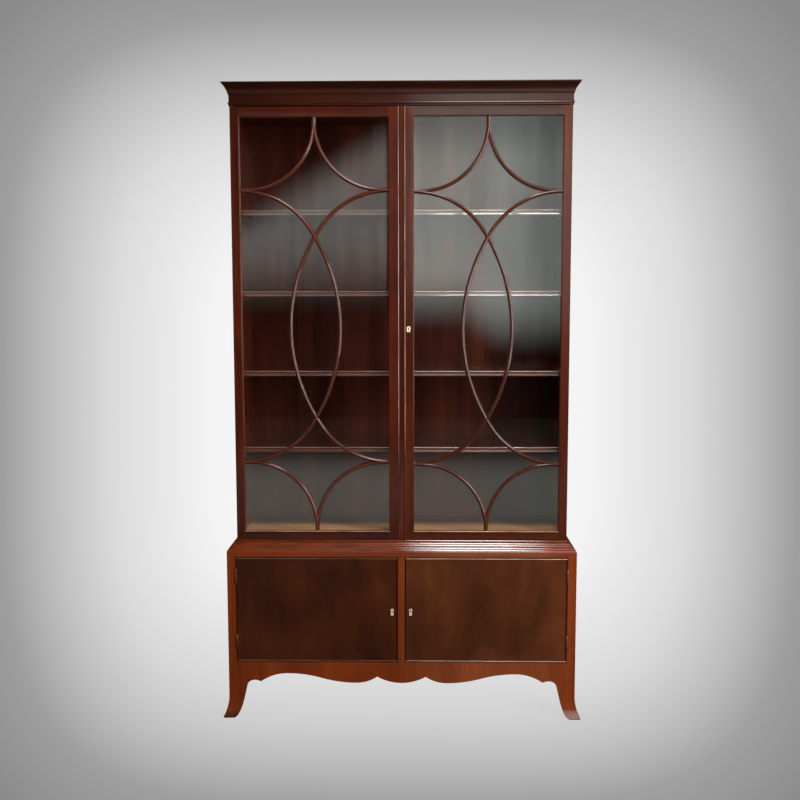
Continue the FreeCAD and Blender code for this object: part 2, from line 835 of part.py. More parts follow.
def make_slide_bolts():
    """The two bolts on the back of the left upper door's closing stile: flat bars in keepers on a
    plate. The first one shoots up and the second one down."""
    x = left_close - slide_edge
    half = slide_width / 2
    half_bar = slide_bar_width / 2
    bar_near = door_back + slide_plate + slide_gap
    bar_far = bar_near + slide_bar_thickness
    keeper_far = bar_far + slide_gap + slide_keeper
    guides = []
    bars = []
    sockets = []
    for limit, way in ((upper_ceiling, 1), (upper_floor, -1)):
        tip = limit - way * slide_rest_gap
        end = tip - way * slide_lead
        start = end - way * slide_length
        plate = box(x - half, x + half, door_back, bar_near - slide_gap, start, end)
        for low in (start, end - way * slide_keeper_height):
            high = low + way * slide_keeper_height
            plate = plate.fuse(box(x - half, x + half, door_back, keeper_far, low, high))
        channel = box(
            x - half_bar - slide_gap, x + half_bar + slide_gap, bar_near - slide_gap, bar_far + slide_gap,
            start, end,
        )
        guides.append(plate.cut(channel).removeSplitter())
        bar = box(x - half_bar, x + half_bar, bar_near, bar_far, start, tip)
        knob_level = (start + end) / 2 - way * slide_throw / 2
        knob_end = vec(x, bar_far, knob_level)
        knob = Part.makeCylinder(slide_knob_radius, slide_knob_length, knob_end, vec(0, 1, 0))
        bars.append(bar.fuse(knob))
        gap = slide_socket_gap
        wide = half_bar + gap
        reach = tip + way * (slide_throw + gap)
        sockets.append(box(x - wide, x + wide, bar_near - gap, bar_far + gap, limit, reach))
    return {"guides": guides, "bars": bars, "sockets": sockets}


def bar_arc(cx, cz, radius, start, sweep):
    """A length of tracery bar bent round a centre, from the angle start through sweep."""
    bed = upper_front + lip_depth
    turn = math.radians(start)

    def at(across, high):
        reach = radius + across
        return vec(cx + reach * math.cos(turn), bed - high, cz + reach * math.sin(turn))

    right = [(bar_width / 2, 0), (bar_nose / 2, bar_height)]
    points = [at(*p) for p in right] + [at(-across, high) for across, high in right[::-1]]
    return face(chain(points + points[:1])).revolve(vec(cx, bed, cz), vec(0, -1, 0), sweep)


def tracery(x0, x1, z0, z1, drop):
    """Two crossing half ovals, each drawn as three arcs, and a quarter round in each corner of the
    pane, in ten bars that meet at mitres. The whole figure is centred on the pane, or drop lower."""
    turn = quarter_turn_degrees
    xm = (x0 + x1) / 2
    zm = (z0 + z1) / 2 - drop
    half_pane = (z1 - z0) / 2
    near = upper_front
    far = upper_front + lip_depth
    corner_centre = half_pane + corner_arc_out
    corner_radius = xm - x0 - corner_arc_in - corner_arc_gap
    half_height = corner_centre - corner_radius - oval_lap
    mitre = half_height + oval_lap / 2

    reach = (x1 - x0) * oval_reach_share
    end_radius = reach * oval_end_share
    rise = half_height - end_radius
    flat = reach ** 2 + half_height ** 2 - 2 * half_height * end_radius
    side_radius = flat / (2 * (reach - end_radius))
    side_centre = x1 - reach + side_radius
    join = math.degrees(math.atan2(rise, side_centre - x1))
    crossing = math.sqrt(side_radius ** 2 - (side_centre - xm) ** 2)
    if crossing > side_radius * math.sin(math.radians(join)):
        crossing = rise + math.sqrt(end_radius ** 2 - (x1 - xm) ** 2)
    side = bar_arc(side_centre, zm, side_radius, 2 * turn - join, 2 * join)
    end_sweep = turn - join + arc_overrun_degrees
    end = bar_arc(x1, zm + rise, end_radius, turn - arc_overrun_degrees, end_sweep)
    oval = side.fuse([end, end.mirror(vec(0, 0, zm), vec(0, 0, 1))])
    bow = oval.common(box(x0, xm, near, far, zm - crossing, zm + crossing))
    upper = oval.common(box(xm, x1, near, far, zm + crossing, zm + mitre))

    start = -turn - arc_overrun_degrees
    sweep = turn + 2 * arc_overrun_degrees
    corner = bar_arc(x0 + corner_arc_in, zm + corner_centre, corner_radius, start, sweep)
    corner = corner.common(box(x0, xm, near, far, zm + mitre, zm + corner_centre + overrun))
    top = [upper, mirror_x(upper, xm), corner, mirror_x(corner, xm)]
    bottom = [bar.mirror(vec(0, 0, zm), vec(0, 0, 1)) for bar in top]
    pane = box(x0, x1, near, far, z0, z1)
    return [bow, mirror_x(bow, xm)] + [bar.common(pane) for bar in top + bottom]


def frame_cutter(x0, x1, z0, z1):
    """The rebate behind a pane and the mitred chamfer in front of it, as one cutter."""
    w = rebate_width
    back = box(x0 - w, x1 + w, upper_front + lip_depth, door_back + overrun, z0 - w, z1 + w)

    def ring(y, grow):
        points = [(x0 - grow, z0 - grow), (x1 + grow, z0 - grow)]
        points += [(x1 + grow, z1 + grow), (x0 - grow, z1 + grow)]
        corners = [vec(a, y, b) for a, b in points]
        return Part.makePolygon(corners + corners[:1])

    c = sight_chamfer
    splay = Part.makeLoft([ring(upper_front - c, 2 * c), ring(upper_front + c, 0)], True)
    return [back, splay]


def glazing_beads(x0, x1, z0, z1):
    """Four strips that hold the glass in the rebate from behind."""
    near = upper_front + lip_depth + glass_thickness
    far = near + glazing_bead_depth
    w = rebate_width
    return [
        box(x0 - w, x0, near, far, z0 - w, z1 + w),
        box(x1, x1 + w, near, far, z0 - w, z1 + w),
        box(x0, x1, near, far, z0 - w, z0),
        box(x0, x1, near, far, z1, z1 + w),
    ]


def rounded_edge(x, way):
    """What comes off the back outer corner of a door, at x, so that it can turn on its pivots."""
    r = door_back_round
    block = box(x - way * r, x + way * overrun, door_back - r, door_back + overrun, door_bottom, door_top)
    return block.cut(upright(x - way * r, door_back - r, door_bottom, door_top, r))


def upper_door(side, name, closing_edge, stile, rooms, tracery_drop):
    """One glazed door: side is 1 for the right one and -1 for the left one."""
    outer = side * half_upper
    pane = sorted((outer - side * outer_stile, closing_edge + side * stile))
    x0, x1 = pane
    cutters = frame_cutter(x0, x1, glass_bottom, glass_top) + rooms + [rounded_edge(outer, side)]
    low, high = sorted((outer, closing_edge))
    depth = (upper_front, door_back)
    pieces = [
        box(low, x0, *depth, door_bottom, door_top),
        box(x1, high, *depth, door_bottom, door_top),
        box(x0, x1, *depth, door_bottom, glass_bottom),
        box(x0, x1, *depth, glass_top, door_top),
    ]
    door_plates = [pivot["door"] for pivot in pivots]
    plate_rooms = [pivot["door_room"] for pivot in pivots]
    if side < 0:
        door_plates = [mirror_x(p) for p in door_plates]
        plate_rooms = [mirror_x(p) for p in plate_rooms]
    export(name + "_door_frame", *[cut_all(piece, cutters + plate_rooms) for piece in pieces])
    export(name + "_pivots", *door_plates)
    export(name + "_tracery", *tracery(x0, x1, glass_bottom, glass_top, tracery_drop))
    rim = rebate_width - glass_edge_gap
    glass_front = upper_front + lip_depth
    export(
        name + "_glass",
        box(
            x0 - rim, x1 + rim, glass_front, glass_front + glass_thickness,
            glass_bottom - rim, glass_top + rim,
        ),
    )
    export(name + "_glazing_beads", *glazing_beads(x0, x1, glass_bottom, glass_top))


def cover_bead():
    """The strip on the right door's closing stile: a bead along each edge and a flat between."""
    r = cover_bead_radius
    x0 = right_close
    x1 = right_close + cover_width

    def at(x, out):
        return vec(x, upper_front - out, door_bottom)

    edges = chain([at(x1, 0), at(x0, 0)])
    edges.append(line(at(x0, 0), at(x0, cover_proud)))
    edges.append(arc(at(x0, cover_proud), at(x0 + r, cover_proud + r), at(x0 + 2 * r, cover_proud)))
    edges.append(line(at(x0 + 2 * r, cover_proud), at(x1 - 2 * r, cover_proud)))
    edges.append(arc(at(x1 - 2 * r, cover_proud), at(x1 - r, cover_proud + r), at(x1, cover_proud)))
    edges.append(line(at(x1, cover_proud), at(x1, 0)))
    return prism(edges, z=door_top - door_bottom)


os.makedirs("parts", exist_ok=True)
low_edge = muntin_width / 2 + low_door_gap
low_key_height = (low_door_bottom + low_door_top) / 2 - low_key_below
low_lock = lock_set(
    low_edge, -1, low_edge + low_key_in, low_key_height, low_escutcheon_width, low_escutcheon_height,
    base_front, base_front + low_door_board, muntin_width / 2,
)
upper_key_height = (door_bottom + door_top) / 2 - upper_key_below
upper_lock = lock_set(
    right_close, -1, right_close + upper_key_in, upper_key_height, upper_escutcheon_width,
    upper_escutcheon_height, upper_front, door_back, left_close,
)
pivots = [make_pivot(door_top, frieze_bottom, 1), make_pivot(door_bottom, waist_top, -1)]
slide_bolts = make_slide_bolts()

make_base()
low_doors()
make_upper_case()
upper_door(-1, "upper_left", left_close, closing_stile, [upper_lock["mortise"]], 0)
upper_door(1, "upper_right", right_close, lock_stile, upper_lock["room"], right_tracery_drop)
export("upper_right_cover_bead", cover_bead())
export("upper_right_escutcheon", upper_lock["escutcheon"])
export("upper_right_lock", upper_lock["case"])
export("upper_right_lock_bolt", upper_lock["bolt"])
export("upper_left_bolt_guides", *slide_bolts["guides"])
export("upper_left_top_bolt", slide_bolts["bars"][0])
export("upper_left_bottom_bolt", slide_bolts["bars"][1])
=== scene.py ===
import cmath
import math

import bmesh
import bpy
from mathutils import Matrix, Vector


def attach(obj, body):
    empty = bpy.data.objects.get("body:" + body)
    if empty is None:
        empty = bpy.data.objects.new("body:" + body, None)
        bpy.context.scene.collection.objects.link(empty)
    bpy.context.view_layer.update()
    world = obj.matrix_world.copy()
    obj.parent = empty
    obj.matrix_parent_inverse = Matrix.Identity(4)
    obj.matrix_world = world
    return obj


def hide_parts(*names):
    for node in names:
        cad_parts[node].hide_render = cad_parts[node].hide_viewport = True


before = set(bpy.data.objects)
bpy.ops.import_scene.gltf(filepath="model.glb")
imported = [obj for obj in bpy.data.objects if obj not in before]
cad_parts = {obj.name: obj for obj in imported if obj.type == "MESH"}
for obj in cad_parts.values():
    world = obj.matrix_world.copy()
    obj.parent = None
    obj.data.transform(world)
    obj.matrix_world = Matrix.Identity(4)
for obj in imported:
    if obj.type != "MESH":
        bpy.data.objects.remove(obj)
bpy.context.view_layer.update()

# Sizes of the CAD model that the finer pieces repeat, in millimetres
MM = 0.001
HALF_BASE = 615
HALF_UPPER = 582.5
BACK_Y = 170.35
BASE_FRONT = -151.65
UPPER_FRONT = -119.15
BASE_HEIGHT = 594
TOTAL_HEIGHT = 2213
WAIST_TOP = 633
WAIST_STEP = 32.5
FRIEZE_BOTTOM = 2137
DOOR_BOTTOM = 635.5
DOOR_TOP = 2134
PANE_BOTTOM = 667
PANE_TOP = 2101
LEFT_PANE = (-552.5, -42.25)
RIGHT_PANE = (44.75, 552.5)
LEFT_CLOSE = -5.75
RIGHT_CLOSE = -4.25
LIP_DEPTH = 11
# A lower door's opening: its inner and its outer edge, then its bottom and its top
LOW_DOOR = (14, 583, 204.5, 577.5)

SIDES = ((-1, "left"), (1, "right"))
MOULDING = "mahogany_moulding"


# Mesh building

def arc_points(centre, radius, start, end, steps):
    """Points of an arc in a plane, from one angle to another in degrees."""
    angles = [math.radians(start + (end - start) * i / steps) for i in range(steps + 1)]
    return [(centre[0] + radius * math.cos(a), centre[1] + radius * math.sin(a)) for a in angles]


def bulge(a, b, lift, steps):
    """Points of an arc from a to b, lifted to the left of its chord, or right of it if negative."""
    run = math.dist(a, b)
    radius = (run * run / 4 + lift * lift) / (2 * lift)
    normal = (-(b[1] - a[1]) / run, (b[0] - a[0]) / run)
    centre = [(p + q) / 2 + n * (lift - radius) for p, q, n in zip(a, b, normal)]
    start, end = [math.degrees(math.atan2(p[1] - centre[1], p[0] - centre[0])) for p in (a, b)]
    turn = (end - start + 180) % 360 - 180
    return arc_points(centre, abs(radius), start, start + turn, steps)


class Shape:
    """Points, faces and grain coordinates of one piece, in millimetres."""

    def __init__(self):
        self.points, self.faces, self.grain, self.wear = [], [], [], []

    def add(self, points, faces, grain=None, wear=None):
        base = len(self.points)
        self.points += [tuple(p) for p in points]
        self.faces += [tuple(base + i for i in f) for f in faces]
        self.grain += grain or [(0.0, 0.0)] * len(points)
        self.wear += wear or [0.0] * len(points)

    def loft(self, rings, along, closed=False, wear=None):
        """Joins rings of points that have the same count. along holds each ring's place along the
        grain, and the last argument each point's share of painted highlight colour, from 0 to 1. Open lofts
        get flat ends."""
        count = len(rings[0])
        across = [0.0]
        for p, q in zip(rings[0], rings[0][1:]):
            across.append(across[-1] + math.dist(p, q))
        points = [p for ring in rings for p in ring]
        grain = [(u, v) for u in along for v in across]
        faces = []
        spans = len(rings) if closed else len(rings) - 1
        for i in range(spans):
            j = (i + 1) % len(rings)
            for k in range(count):
                m = (k + 1) % count
                faces.append((i * count + k, i * count + m, j * count + m, j * count + k))
        if not closed:
            faces += [tuple(range(count)), tuple(spans * count + k for k in range(count))]
        self.add(points, faces, grain, (wear or [0.0] * count) * len(rings))

    def turned(self, base, axis, side, profile, steps=32):
        """A lathe form: profile holds (radius, distance along the axis) pairs."""
        base, axis, side = Vector(base), Vector(axis), Vector(side)
        other = axis.cross(side)
        rings = []
        for radius, high in profile:
            centre = base + axis * high
            spots = arc_points((0, 0), radius, 0, 360, steps)[:-1]
            rings.append([centre + side * u + other * v for u, v in spots])
        self.loft(rings, [high for radius, high in profile])

    def block(self, low, high, ease):
        """A box whose edges are eased by a small flat."""
        low, high = [min(a, b) for a, b in zip(low, high)], [max(a, b) for a, b in zip(low, high)]
        mesh = bmesh.new()
        for corner in range(8):
            for flat in range(3):
                inset = [0 if k == flat else ease for k in range(3)]
                at_high = [corner >> k & 1 for k in range(3)]
                mesh.verts.new([high[k] - inset[k] if at_high[k] else low[k] + inset[k] for k in range(3)])
        bmesh.ops.remove_doubles(mesh, verts=mesh.verts, dist=1e-6)
        bmesh.ops.convex_hull(mesh, input=mesh.verts)
        bmesh.ops.dissolve_limit(mesh, angle_limit=0.01, verts=mesh.verts, edges=mesh.edges)
        mesh.verts.index_update()
        self.add([v.co for v in mesh.verts], [[v.index for v in f.verts] for f in mesh.faces])
        mesh.free()

    def screw(self, centre, axis, side, radius, slot_angle):
        """The head of a slotted screw, seen from the tip of axis: two half rounds over a floor."""
        slot_half, rim_high, crown_high, crown_share = radius * 0.16, radius * 0.1, radius * 0.22, 0.8
        centre, axis, side = Vector(centre), Vector(axis), Vector(side)
        turn = math.radians(slot_angle)
        across = side * math.cos(turn) + axis.cross(side) * math.sin(turn)
        along = axis.cross(across)
        limit = math.degrees(math.asin(slot_half / radius))
        outline = arc_points((0, 0), radius, limit, 180 - limit, 14)
        tops = [(x * crown_share, max(y * crown_share, slot_half)) for x, y in outline]
        for way in (1, -1):
            rings = [[centre + along * (x * way) + across * (y * way) + axis * high for x, y in spots]
                     for spots, high in ((outline, 0), (outline, rim_high), (tops, crown_high))]
            self.loft(rings, [0, 1, 2])
        floor = radius * 0.9
        self.turned(centre, axis, side, [(floor, -0.05), (floor, 0.04)], steps=20)


def link(name, data):
    """A new object in the scene."""
    item = bpy.data.objects.new(name, data)
    bpy.context.scene.collection.objects.link(item)
    return item


SMOOTH_ANGLE = math.radians(35)


def piece(name, shape, material, body, slot, *replaced):
    """Turns a shape into an object that rides on a body."""
    mesh = bpy.data.meshes.new(name)
    mesh.from_pydata([Vector(p) * MM for p in shape.points], [], shape.faces)
    layer = mesh.uv_layers.new(name="grain")
    for loop in mesh.loops:
        u, v = shape.grain[loop.vertex_index]
        layer.data[loop.index].uv = (u * MM, v * MM)
    # Each point's share of painted highlight colour, which the wood materials read
    mesh.attributes.new(name="wear", type="FLOAT", domain="POINT").data.foreach_set("value", shape.wear)
    work = bmesh.new()
    work.from_mesh(mesh)
    bmesh.ops.recalc_face_normals(work, faces=work.faces)
    work.to_mesh(mesh)
    work.free()
    mesh.shade_smooth()
    mesh.set_sharp_from_angle(angle=SMOOTH_ANGLE)
    mesh.materials.append(material)
    item = link(name, mesh)
    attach(item, body)
    if replaced:
        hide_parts(*replaced)


# Materials

def srgb(red, green, blue):
    """A colour given as it shows on a screen, 0 to 255, as the renderer wants it."""
    shares = [level / 255 for level in (red, green, blue)]
    return (*[s / 12.92 if s <= 0.04045 else ((s + 0.055) / 1.055) ** 2.4 for s in shares], 1.0)


def grey(level):
    return (level, level, level, 1.0)


def darker(colour, share):
    return (*[channel * share for channel in colour[:3]], 1.0)


class Graph:
    """A node tree that is written as nested calls."""

    MIX_SOCKETS = {"RGBA": ((0, 6, 7), 2), "VECTOR": ((0, 4, 5), 1)}
    GENERATED, OBJECT = 0, 3

    def __init__(self, tree):
        self.tree = tree
        tree.nodes.clear()

    def connect(self, item, pairs):
        for key, value in pairs:
            if isinstance(value, bpy.types.NodeSocket):
                self.tree.links.new(value, item.inputs[key])
            else:
                item.inputs[key].default_value = value

    def new(self, kind):
        return self.tree.nodes.new("ShaderNode" + kind)

    def add(self, kind, *inputs, output=0, named=None, **settings):
        item = self.new(kind)
        for key, value in settings.items():
            setattr(item, key, value)
        self.connect(item, [*enumerate(inputs), *(named or {}).items()])
        return item.outputs[output] if item.outputs else item

    def math(self, operation, *inputs):
        return self.add("Math", *inputs, operation=operation)

    def plus(self, first, second):
        return self.math("ADD", first, second)

    def minus(self, first, second):
        return self.math("SUBTRACT", first, second)

    def times(self, first, second):
        return self.math("MULTIPLY", first, second)

    def vector(self, operation, *inputs, output=0):
        return self.add("VectorMath", *inputs, operation=operation, output=output)

    def place(self):
        """The point's coordinates on its object, which are the cabinet's own when it is closed."""
        return self.add("TexCoord", output=self.OBJECT)

    def split(self, place):
        return self.add("SeparateXYZ", place).node.outputs

    def noise(self, place, scale, detail=2.0, roughness=0.5, distortion=0.0):
        stretched = self.vector("MULTIPLY", place, scale)
        wanted = {"Scale": 1.0, "Detail": detail, "Roughness": roughness, "Distortion": distortion}
        return self.add("TexNoise", stretched, named=wanted)

    def spread(self, value, low, high, to_low=0.0, to_high=1.0, ends="LINEAR"):
        """Maps low to high evenly onto another range, and keeps to that range outside."""
        return self.add("MapRange", value, low, high, to_low, to_high, interpolation_type=ends)

    def step(self, *values):
        """Like spread, but it starts and ends gently."""
        return self.spread(*values, ends="SMOOTHSTEP")

    def mix(self, share, first, second, kind="RGBA"):
        item = self.new("Mix")
        item.data_type = kind
        keys, output = self.MIX_SOCKETS[kind]
        self.connect(item, zip(keys, (share, first, second)))
        return item.outputs[output]

    def ramp(self, value, stops):
        item = self.new("ValToRGB")
        elements = item.color_ramp.elements
        while len(elements) < len(stops):
            elements.new(0.5)
        for element, (place, colour) in zip(elements, stops):
            element.position = place
            element.color = colour
        self.tree.links.new(value, item.inputs[0])
        return item.outputs[0]

    def bump(self, strength, distance, height):
        return self.add("Bump", named={"Strength": strength, "Distance": distance, "Height": height})

    def principled(self, **named):
        """A surface. Its inputs are named with low lines for their spaces."""
        inputs = {key.replace("_", " "): value for key, value in named.items()}
        return self.add("BsdfPrincipled", named=inputs)


def new_material(name):
    material = bpy.data.materials.new(name)
    material.use_nodes = True
    return material, Graph(material.node_tree)


# How often each pattern of the wood changes per metre, along and across the grain
BANDS = (0.6, 15, 15)
FIBRE = (5, 300, 300)
CLOUDS = (2.4, 5.0, 5.0)
FIGURE = (3.4, 2.2, 2.2)
PORES = (48, 1500, 1500)
HIGHLIGHT_PATCHES = (14, 40, 40)
CHIPS = (150, 150, 150)


def grain_place(g, along, rail_span, seed):
    """Texture coordinates whose first axis runs along the grain, and where the rails of a frame are."""
    shift = (seed, seed * 1.7, seed * 0.6)
    if along == "uv":
        return g.vector("ADD", g.add("UVMap", uv_map="grain"), shift), None
    x, y, z = g.split(g.place())
    orders = {"x": (x, y, z), "y": (y, z, x), "z": (z, x, y)}
    result, rails = g.add("CombineXYZ", *orders[along]), None
    if rail_span:
        low, high = rail_span
        off = g.math("ABSOLUTE", g.minus(x, (low + high) / 2 * MM))
        rails = g.math("LESS_THAN", off, (high - low) / 2 * MM)
        level = g.vector("ADD", g.add("CombineXYZ", *orders["x"]), (3.1, 1.3, 0.7))
        result = g.mix(rails, result, level, "VECTOR")
    return g.vector("ADD", result, shift), rails


def door_gap_shade(g, x, z):
    """How much painted shade darkens the lower doors' openings, for the shadow in the gaps round the doors,
    less above and below than at the sides.
    """
    inner, outer, low, high = (value * MM for value in LOW_DOOR)
    side = g.math("ABSOLUTE", x)
    beside = g.math("MAXIMUM", g.minus(inner, side), g.minus(side, outer))
    level = g.math("MAXIMUM", g.minus(low, z), g.minus(z, high))
    off = g.math("MAXIMUM", beside, g.times(level, 0.6))
    return g.spread(off, 0.0006, 0.0034, 0.95, 0.0)


def scuff_toes(g, colour, spot, x, z):
    """Chips and rubs on the lowest 30 mm of the feet, paler on the right, and a darker band along the lowest
    4 mm.
    """
    scuff = g.mix(g.spread(x, -0.5, 0.5), srgb(42, 19, 15), srgb(118, 97, 88))
    chips = g.spread(g.noise(spot, CHIPS, 4.0, 0.7), 0.4, 0.56)
    colour = g.mix(g.times(g.spread(z, 0.012, 0.03, 1.0, 0.0), chips), colour, scuff)
    return g.mix(g.spread(z, 0.001, 0.004, 0.8, 0.0), colour, srgb(30, 16, 12))


def wood(name, along, tones, seed, mottle=0.22, figure=0.0, streak=1.0, gloss=0.3, relief=0.08,
         coat=1.0, coat_rough=0.09, coat_ior=1.5, dulled=None, rail_span=None, rail_shade=(0.66, 0.66),
         highlight_colour=None, calm_left=False, gap_shade=False, dark_above=None, fade_back=False, paled=0.0,
         toe_wear=False):
    """Polished mahogany with ribbon bands, fibre streaks, pores and darker patches.

    along is the grain's axis, or uv where the piece holds its own grain coordinates. dulled holds an
    axis, the places on it where the polish is least and full, and the least polish. rail_span and
    rail_shade are the x span of a frame's rails and their tone low and high up. paled is the share of
    a painted sheen that lightens the right half of the lower case, where the light falls on it."""
    material, g = new_material(name if name == "carcass_pine" else "mahogany_" + name)
    dark, mid, light = [srgb(*colour) for colour in TONES[tones]]
    place, rails = grain_place(g, along, rail_span, seed)
    spot = g.place()
    x, y, z = g.split(spot)
    fibre = g.noise(place, FIBRE, 3.0, 0.6)
    cloud = g.noise(place, CLOUDS, 3.0, 0.55, 0.8)
    tone = g.plus(g.times(g.noise(place, BANDS, 2.0, 0.5, 0.6), 0.66 * streak), g.times(fibre, 0.34 * streak))
    tone = g.plus(tone, 0.5 * (1 - streak))
    if figure:
        cross = g.noise(place, FIGURE, 3.0, 0.55, 1.6)
        tone = g.plus(tone, g.times(g.minus(cross, 0.5), figure))
    colour = g.ramp(tone, [(0.28, dark), (0.5, mid), (0.72, light)])
    shade = g.spread(cloud, 0.36, 0.62, 1.0 - mottle, 1.0 + mottle * 0.3)
    if rails:
        rail_tone = g.spread(z, 0.8, 2.0, *rail_shade)
        shade = g.times(shade, g.spread(rails, 0.0, 1.0, 1.0, rail_tone))
    colour = g.add("VectorMath", colour, named={"Scale": shade}, operation="SCALE")
    holes = g.spread(g.noise(place, PORES, 1.0, 0.5), 0.60, 0.68)
    colour = g.mix(g.times(holes, 0.45), colour, darker(dark, 0.3))
    # Painted highlight: the given colour is laid where a piece's highlight share is 1, in uneven patches,
    # weaker on the left where calm_left is set
    if highlight_colour:
        highlight_mask = g.add("Attribute", attribute_name="wear", output=2)
        uneven = g.spread(g.noise(place, HIGHLIGHT_PATCHES, 2.0), 0.3, 0.6, 0.4, 1.0)
        if calm_left:
            uneven = g.times(uneven, g.spread(x, -0.1, 0.1, 0.66, 0.88))
        colour = g.mix(g.times(highlight_mask, uneven), colour, highlight_colour)
    # Painted shade round the lower doors' openings, for the shadow in the gaps
    if gap_shade:
        colour = g.mix(door_gap_shade(g, x, z), colour, darker(dark, 0.12))
    if dark_above:
        share = g.spread(z, dark_above * MM, (dark_above + 9) * MM, 0.0, 0.62)
        colour = g.mix(share, colour, srgb(12, 5, 3))
    # Painted shade: the board darkens toward the back of the case, where less light reaches
    if fade_back:
        colour = g.mix(g.spread(y, 0.02, 0.1, 0.0, 0.85), colour, srgb(30, 14, 8))
    # Painted sheen: the right half of the lower case is lightened toward a pale tan, where the light falls
    if paled:
        share = g.times(g.spread(x, -0.02, 0.2), g.spread(x, 0.5, 0.585, 1.0, 0.0))
        colour = g.mix(g.times(share, paled), colour, srgb(205, 152, 110))
    if toe_wear:
        colour = scuff_toes(g, colour, spot, x, z)
    rough = g.spread(g.plus(g.times(fibre, 0.5), g.times(cloud, 0.5)), 0.3, 0.7, gloss - 0.05, gloss + 0.08)
    if dulled:
        axis, dull_end, bright_end, least = dulled
        coat = g.spread({"x": x, "z": z}[axis], dull_end, bright_end, least, coat)
    bump = g.bump(relief, 0.0002, g.minus(g.times(fibre, 0.35), holes))
    g.add("OutputMaterial", g.principled(
        Base_Color=colour, Roughness=rough, Normal=bump, IOR=1.45, Specular_IOR_Level=0.12,
        Coat_Weight=coat, Coat_Roughness=coat_rough, Coat_IOR=coat_ior))
    return material


def metal(name, bright, dull, rough_low, rough_high, tarnish, metallic=1.0):
    """Metal with patches of tarnish, fine scratches and a little wear."""
    material, g = new_material(name)
    place = g.place()
    patches = g.noise(place, (130, 130, 130), 4.0, 0.6)
    scratches = g.noise(place, (2600, 2600, 160), 2.0, 0.5)
    colour = g.mix(g.spread(patches, 0.35, 0.68, 0.0, tarnish), bright, dull)
    rough = g.spread(g.plus(g.times(patches, 0.7), g.times(scratches, 0.3)), 0.3, 0.7, rough_low, rough_high)
    g.add("OutputMaterial", g.principled(
        Base_Color=colour, Roughness=rough, Normal=g.bump(0.08, 0.0001, scratches), Metallic=metallic))
    return material


def old_glass(name):
    """Drawn sheet glass: faint upright ripples, and clear for the light that falls through it."""
    material, g = new_material(name)
    place = g.place()
    ripple = g.noise(place, (26, 26, 1.4), 1.0, 0.4, 0.3)
    swell = g.noise(place, (5, 5, 3.5), 0.0, 0.5)
    bump = g.bump(0.2, 0.0008, g.plus(g.times(ripple, 0.4), swell))
    tints = [(0.3, (0.93, 0.96, 0.94, 1)), (0.7, (0.97, 0.985, 0.975, 1))]
    tint = g.ramp(g.noise(place, (9, 9, 2), 1.0), tints)
    glass = g.principled(Base_Color=tint, Roughness=0.0, Normal=bump, IOR=1.5, Transmission_Weight=1.0)
    clear = g.add("BsdfTransparent", tint)
    path = g.new("LightPath").outputs
    through = g.math("MAXIMUM", path["Is Shadow Ray"], path["Is Diffuse Ray"])
    g.add("OutputMaterial", g.add("MixShader", through, glass, clear))
    return material


# The dark, middle and light colours of each wood
TONES = {
    "base": ((80, 27, 4), (114, 47, 13), (140, 66, 26)),
    "waist": ((40, 12, 2), (62, 22, 5), (84, 34, 10)),
    "cornice": ((34, 11, 5), (54, 19, 8), (78, 31, 15)),
    "middle": ((44, 13, 3), (73, 25, 7), (99, 39, 13)),
    "right": ((40, 12, 3), (68, 24, 6), (94, 37, 11)),
    "bar": ((36, 11, 4), (60, 21, 7), (86, 34, 13)),
    # The left panel is darker than the right: partly the veneers' own tones, partly painted shade, as the
    # light falls from the right
    "left_panel": ((41, 16, 4), (63, 26, 7), (86, 39, 13)),
    "right_panel": ((54, 24, 9), (78, 38, 16), (102, 54, 27)),
    "inside": ((36, 9, 4), (62, 20, 10), (90, 36, 20)),
    "shelf": ((40, 14, 8), (68, 28, 16), (96, 46, 28)),
    "pine": ((96, 60, 38), (142, 96, 62), (176, 128, 88)),
    # The bottom board's tan is partly painted light: brightened to stand for the light on its front
    "lit_tan": ((170, 116, 78), (194, 140, 98), (212, 164, 122)),
    "pane_bead": ((96, 56, 34), (124, 76, 50), (148, 98, 68)),
}
# Painted highlight colours for the bead noses and reed crests, where the lamps' reflections fall
WAIST_HIGHLIGHT = srgb(122, 50, 16)
BAR_HIGHLIGHT = srgb(112, 54, 36)
STRIP_HIGHLIGHT = srgb(212, 162, 140)
COCK_HIGHLIGHT = srgb(228, 192, 176)
SHELF_HIGHLIGHT = srgb(198, 178, 168)

# The polish of the lower case is brighter to the right, as the dulled option of wood has it
LEFT_DULLED = ("x", -0.6, 0.1, 0.3)
CORNICE_DARK_ABOVE = 2187

base_upright = wood(
    "base_upright", "z", "base", 1.3, mottle=0.15, streak=0.55, dulled=LEFT_DULLED, gap_shade=True,
    toe_wear=True, paled=0.05)
base_level = wood(
    "base_level", "x", "base", 2.9, mottle=0.2, streak=0.6, dulled=LEFT_DULLED, gap_shade=True, paled=0.06)
base_deep = wood("base_deep", "y", "base", 4.1)
waist_level = wood(
    "waist_level", "x", "waist", 3.7, coat_ior=2.1, coat_rough=0.06, relief=0.0,
    dulled=("x", -0.3, 0.05, 0.45), highlight_colour=WAIST_HIGHLIGHT)
side_upright = wood("side_upright", "z", "middle", 5.7, mottle=0.4)
cornice_level = wood(
    "cornice_level", "x", "cornice", 6.3, mottle=0.3, coat_ior=1.42,
    dulled=("x", -0.2, 0.2, 0.15), dark_above=CORNICE_DARK_ABOVE)
cornice_deep = wood(
    "cornice_deep", "y", "cornice", 7.7, mottle=0.3, coat_ior=1.42, dark_above=CORNICE_DARK_ABOVE)
left_frame = wood("left_frame", "z", "middle", 8.2, mottle=0.4, coat=0.35, coat_ior=1.38, rail_span=LEFT_PANE)
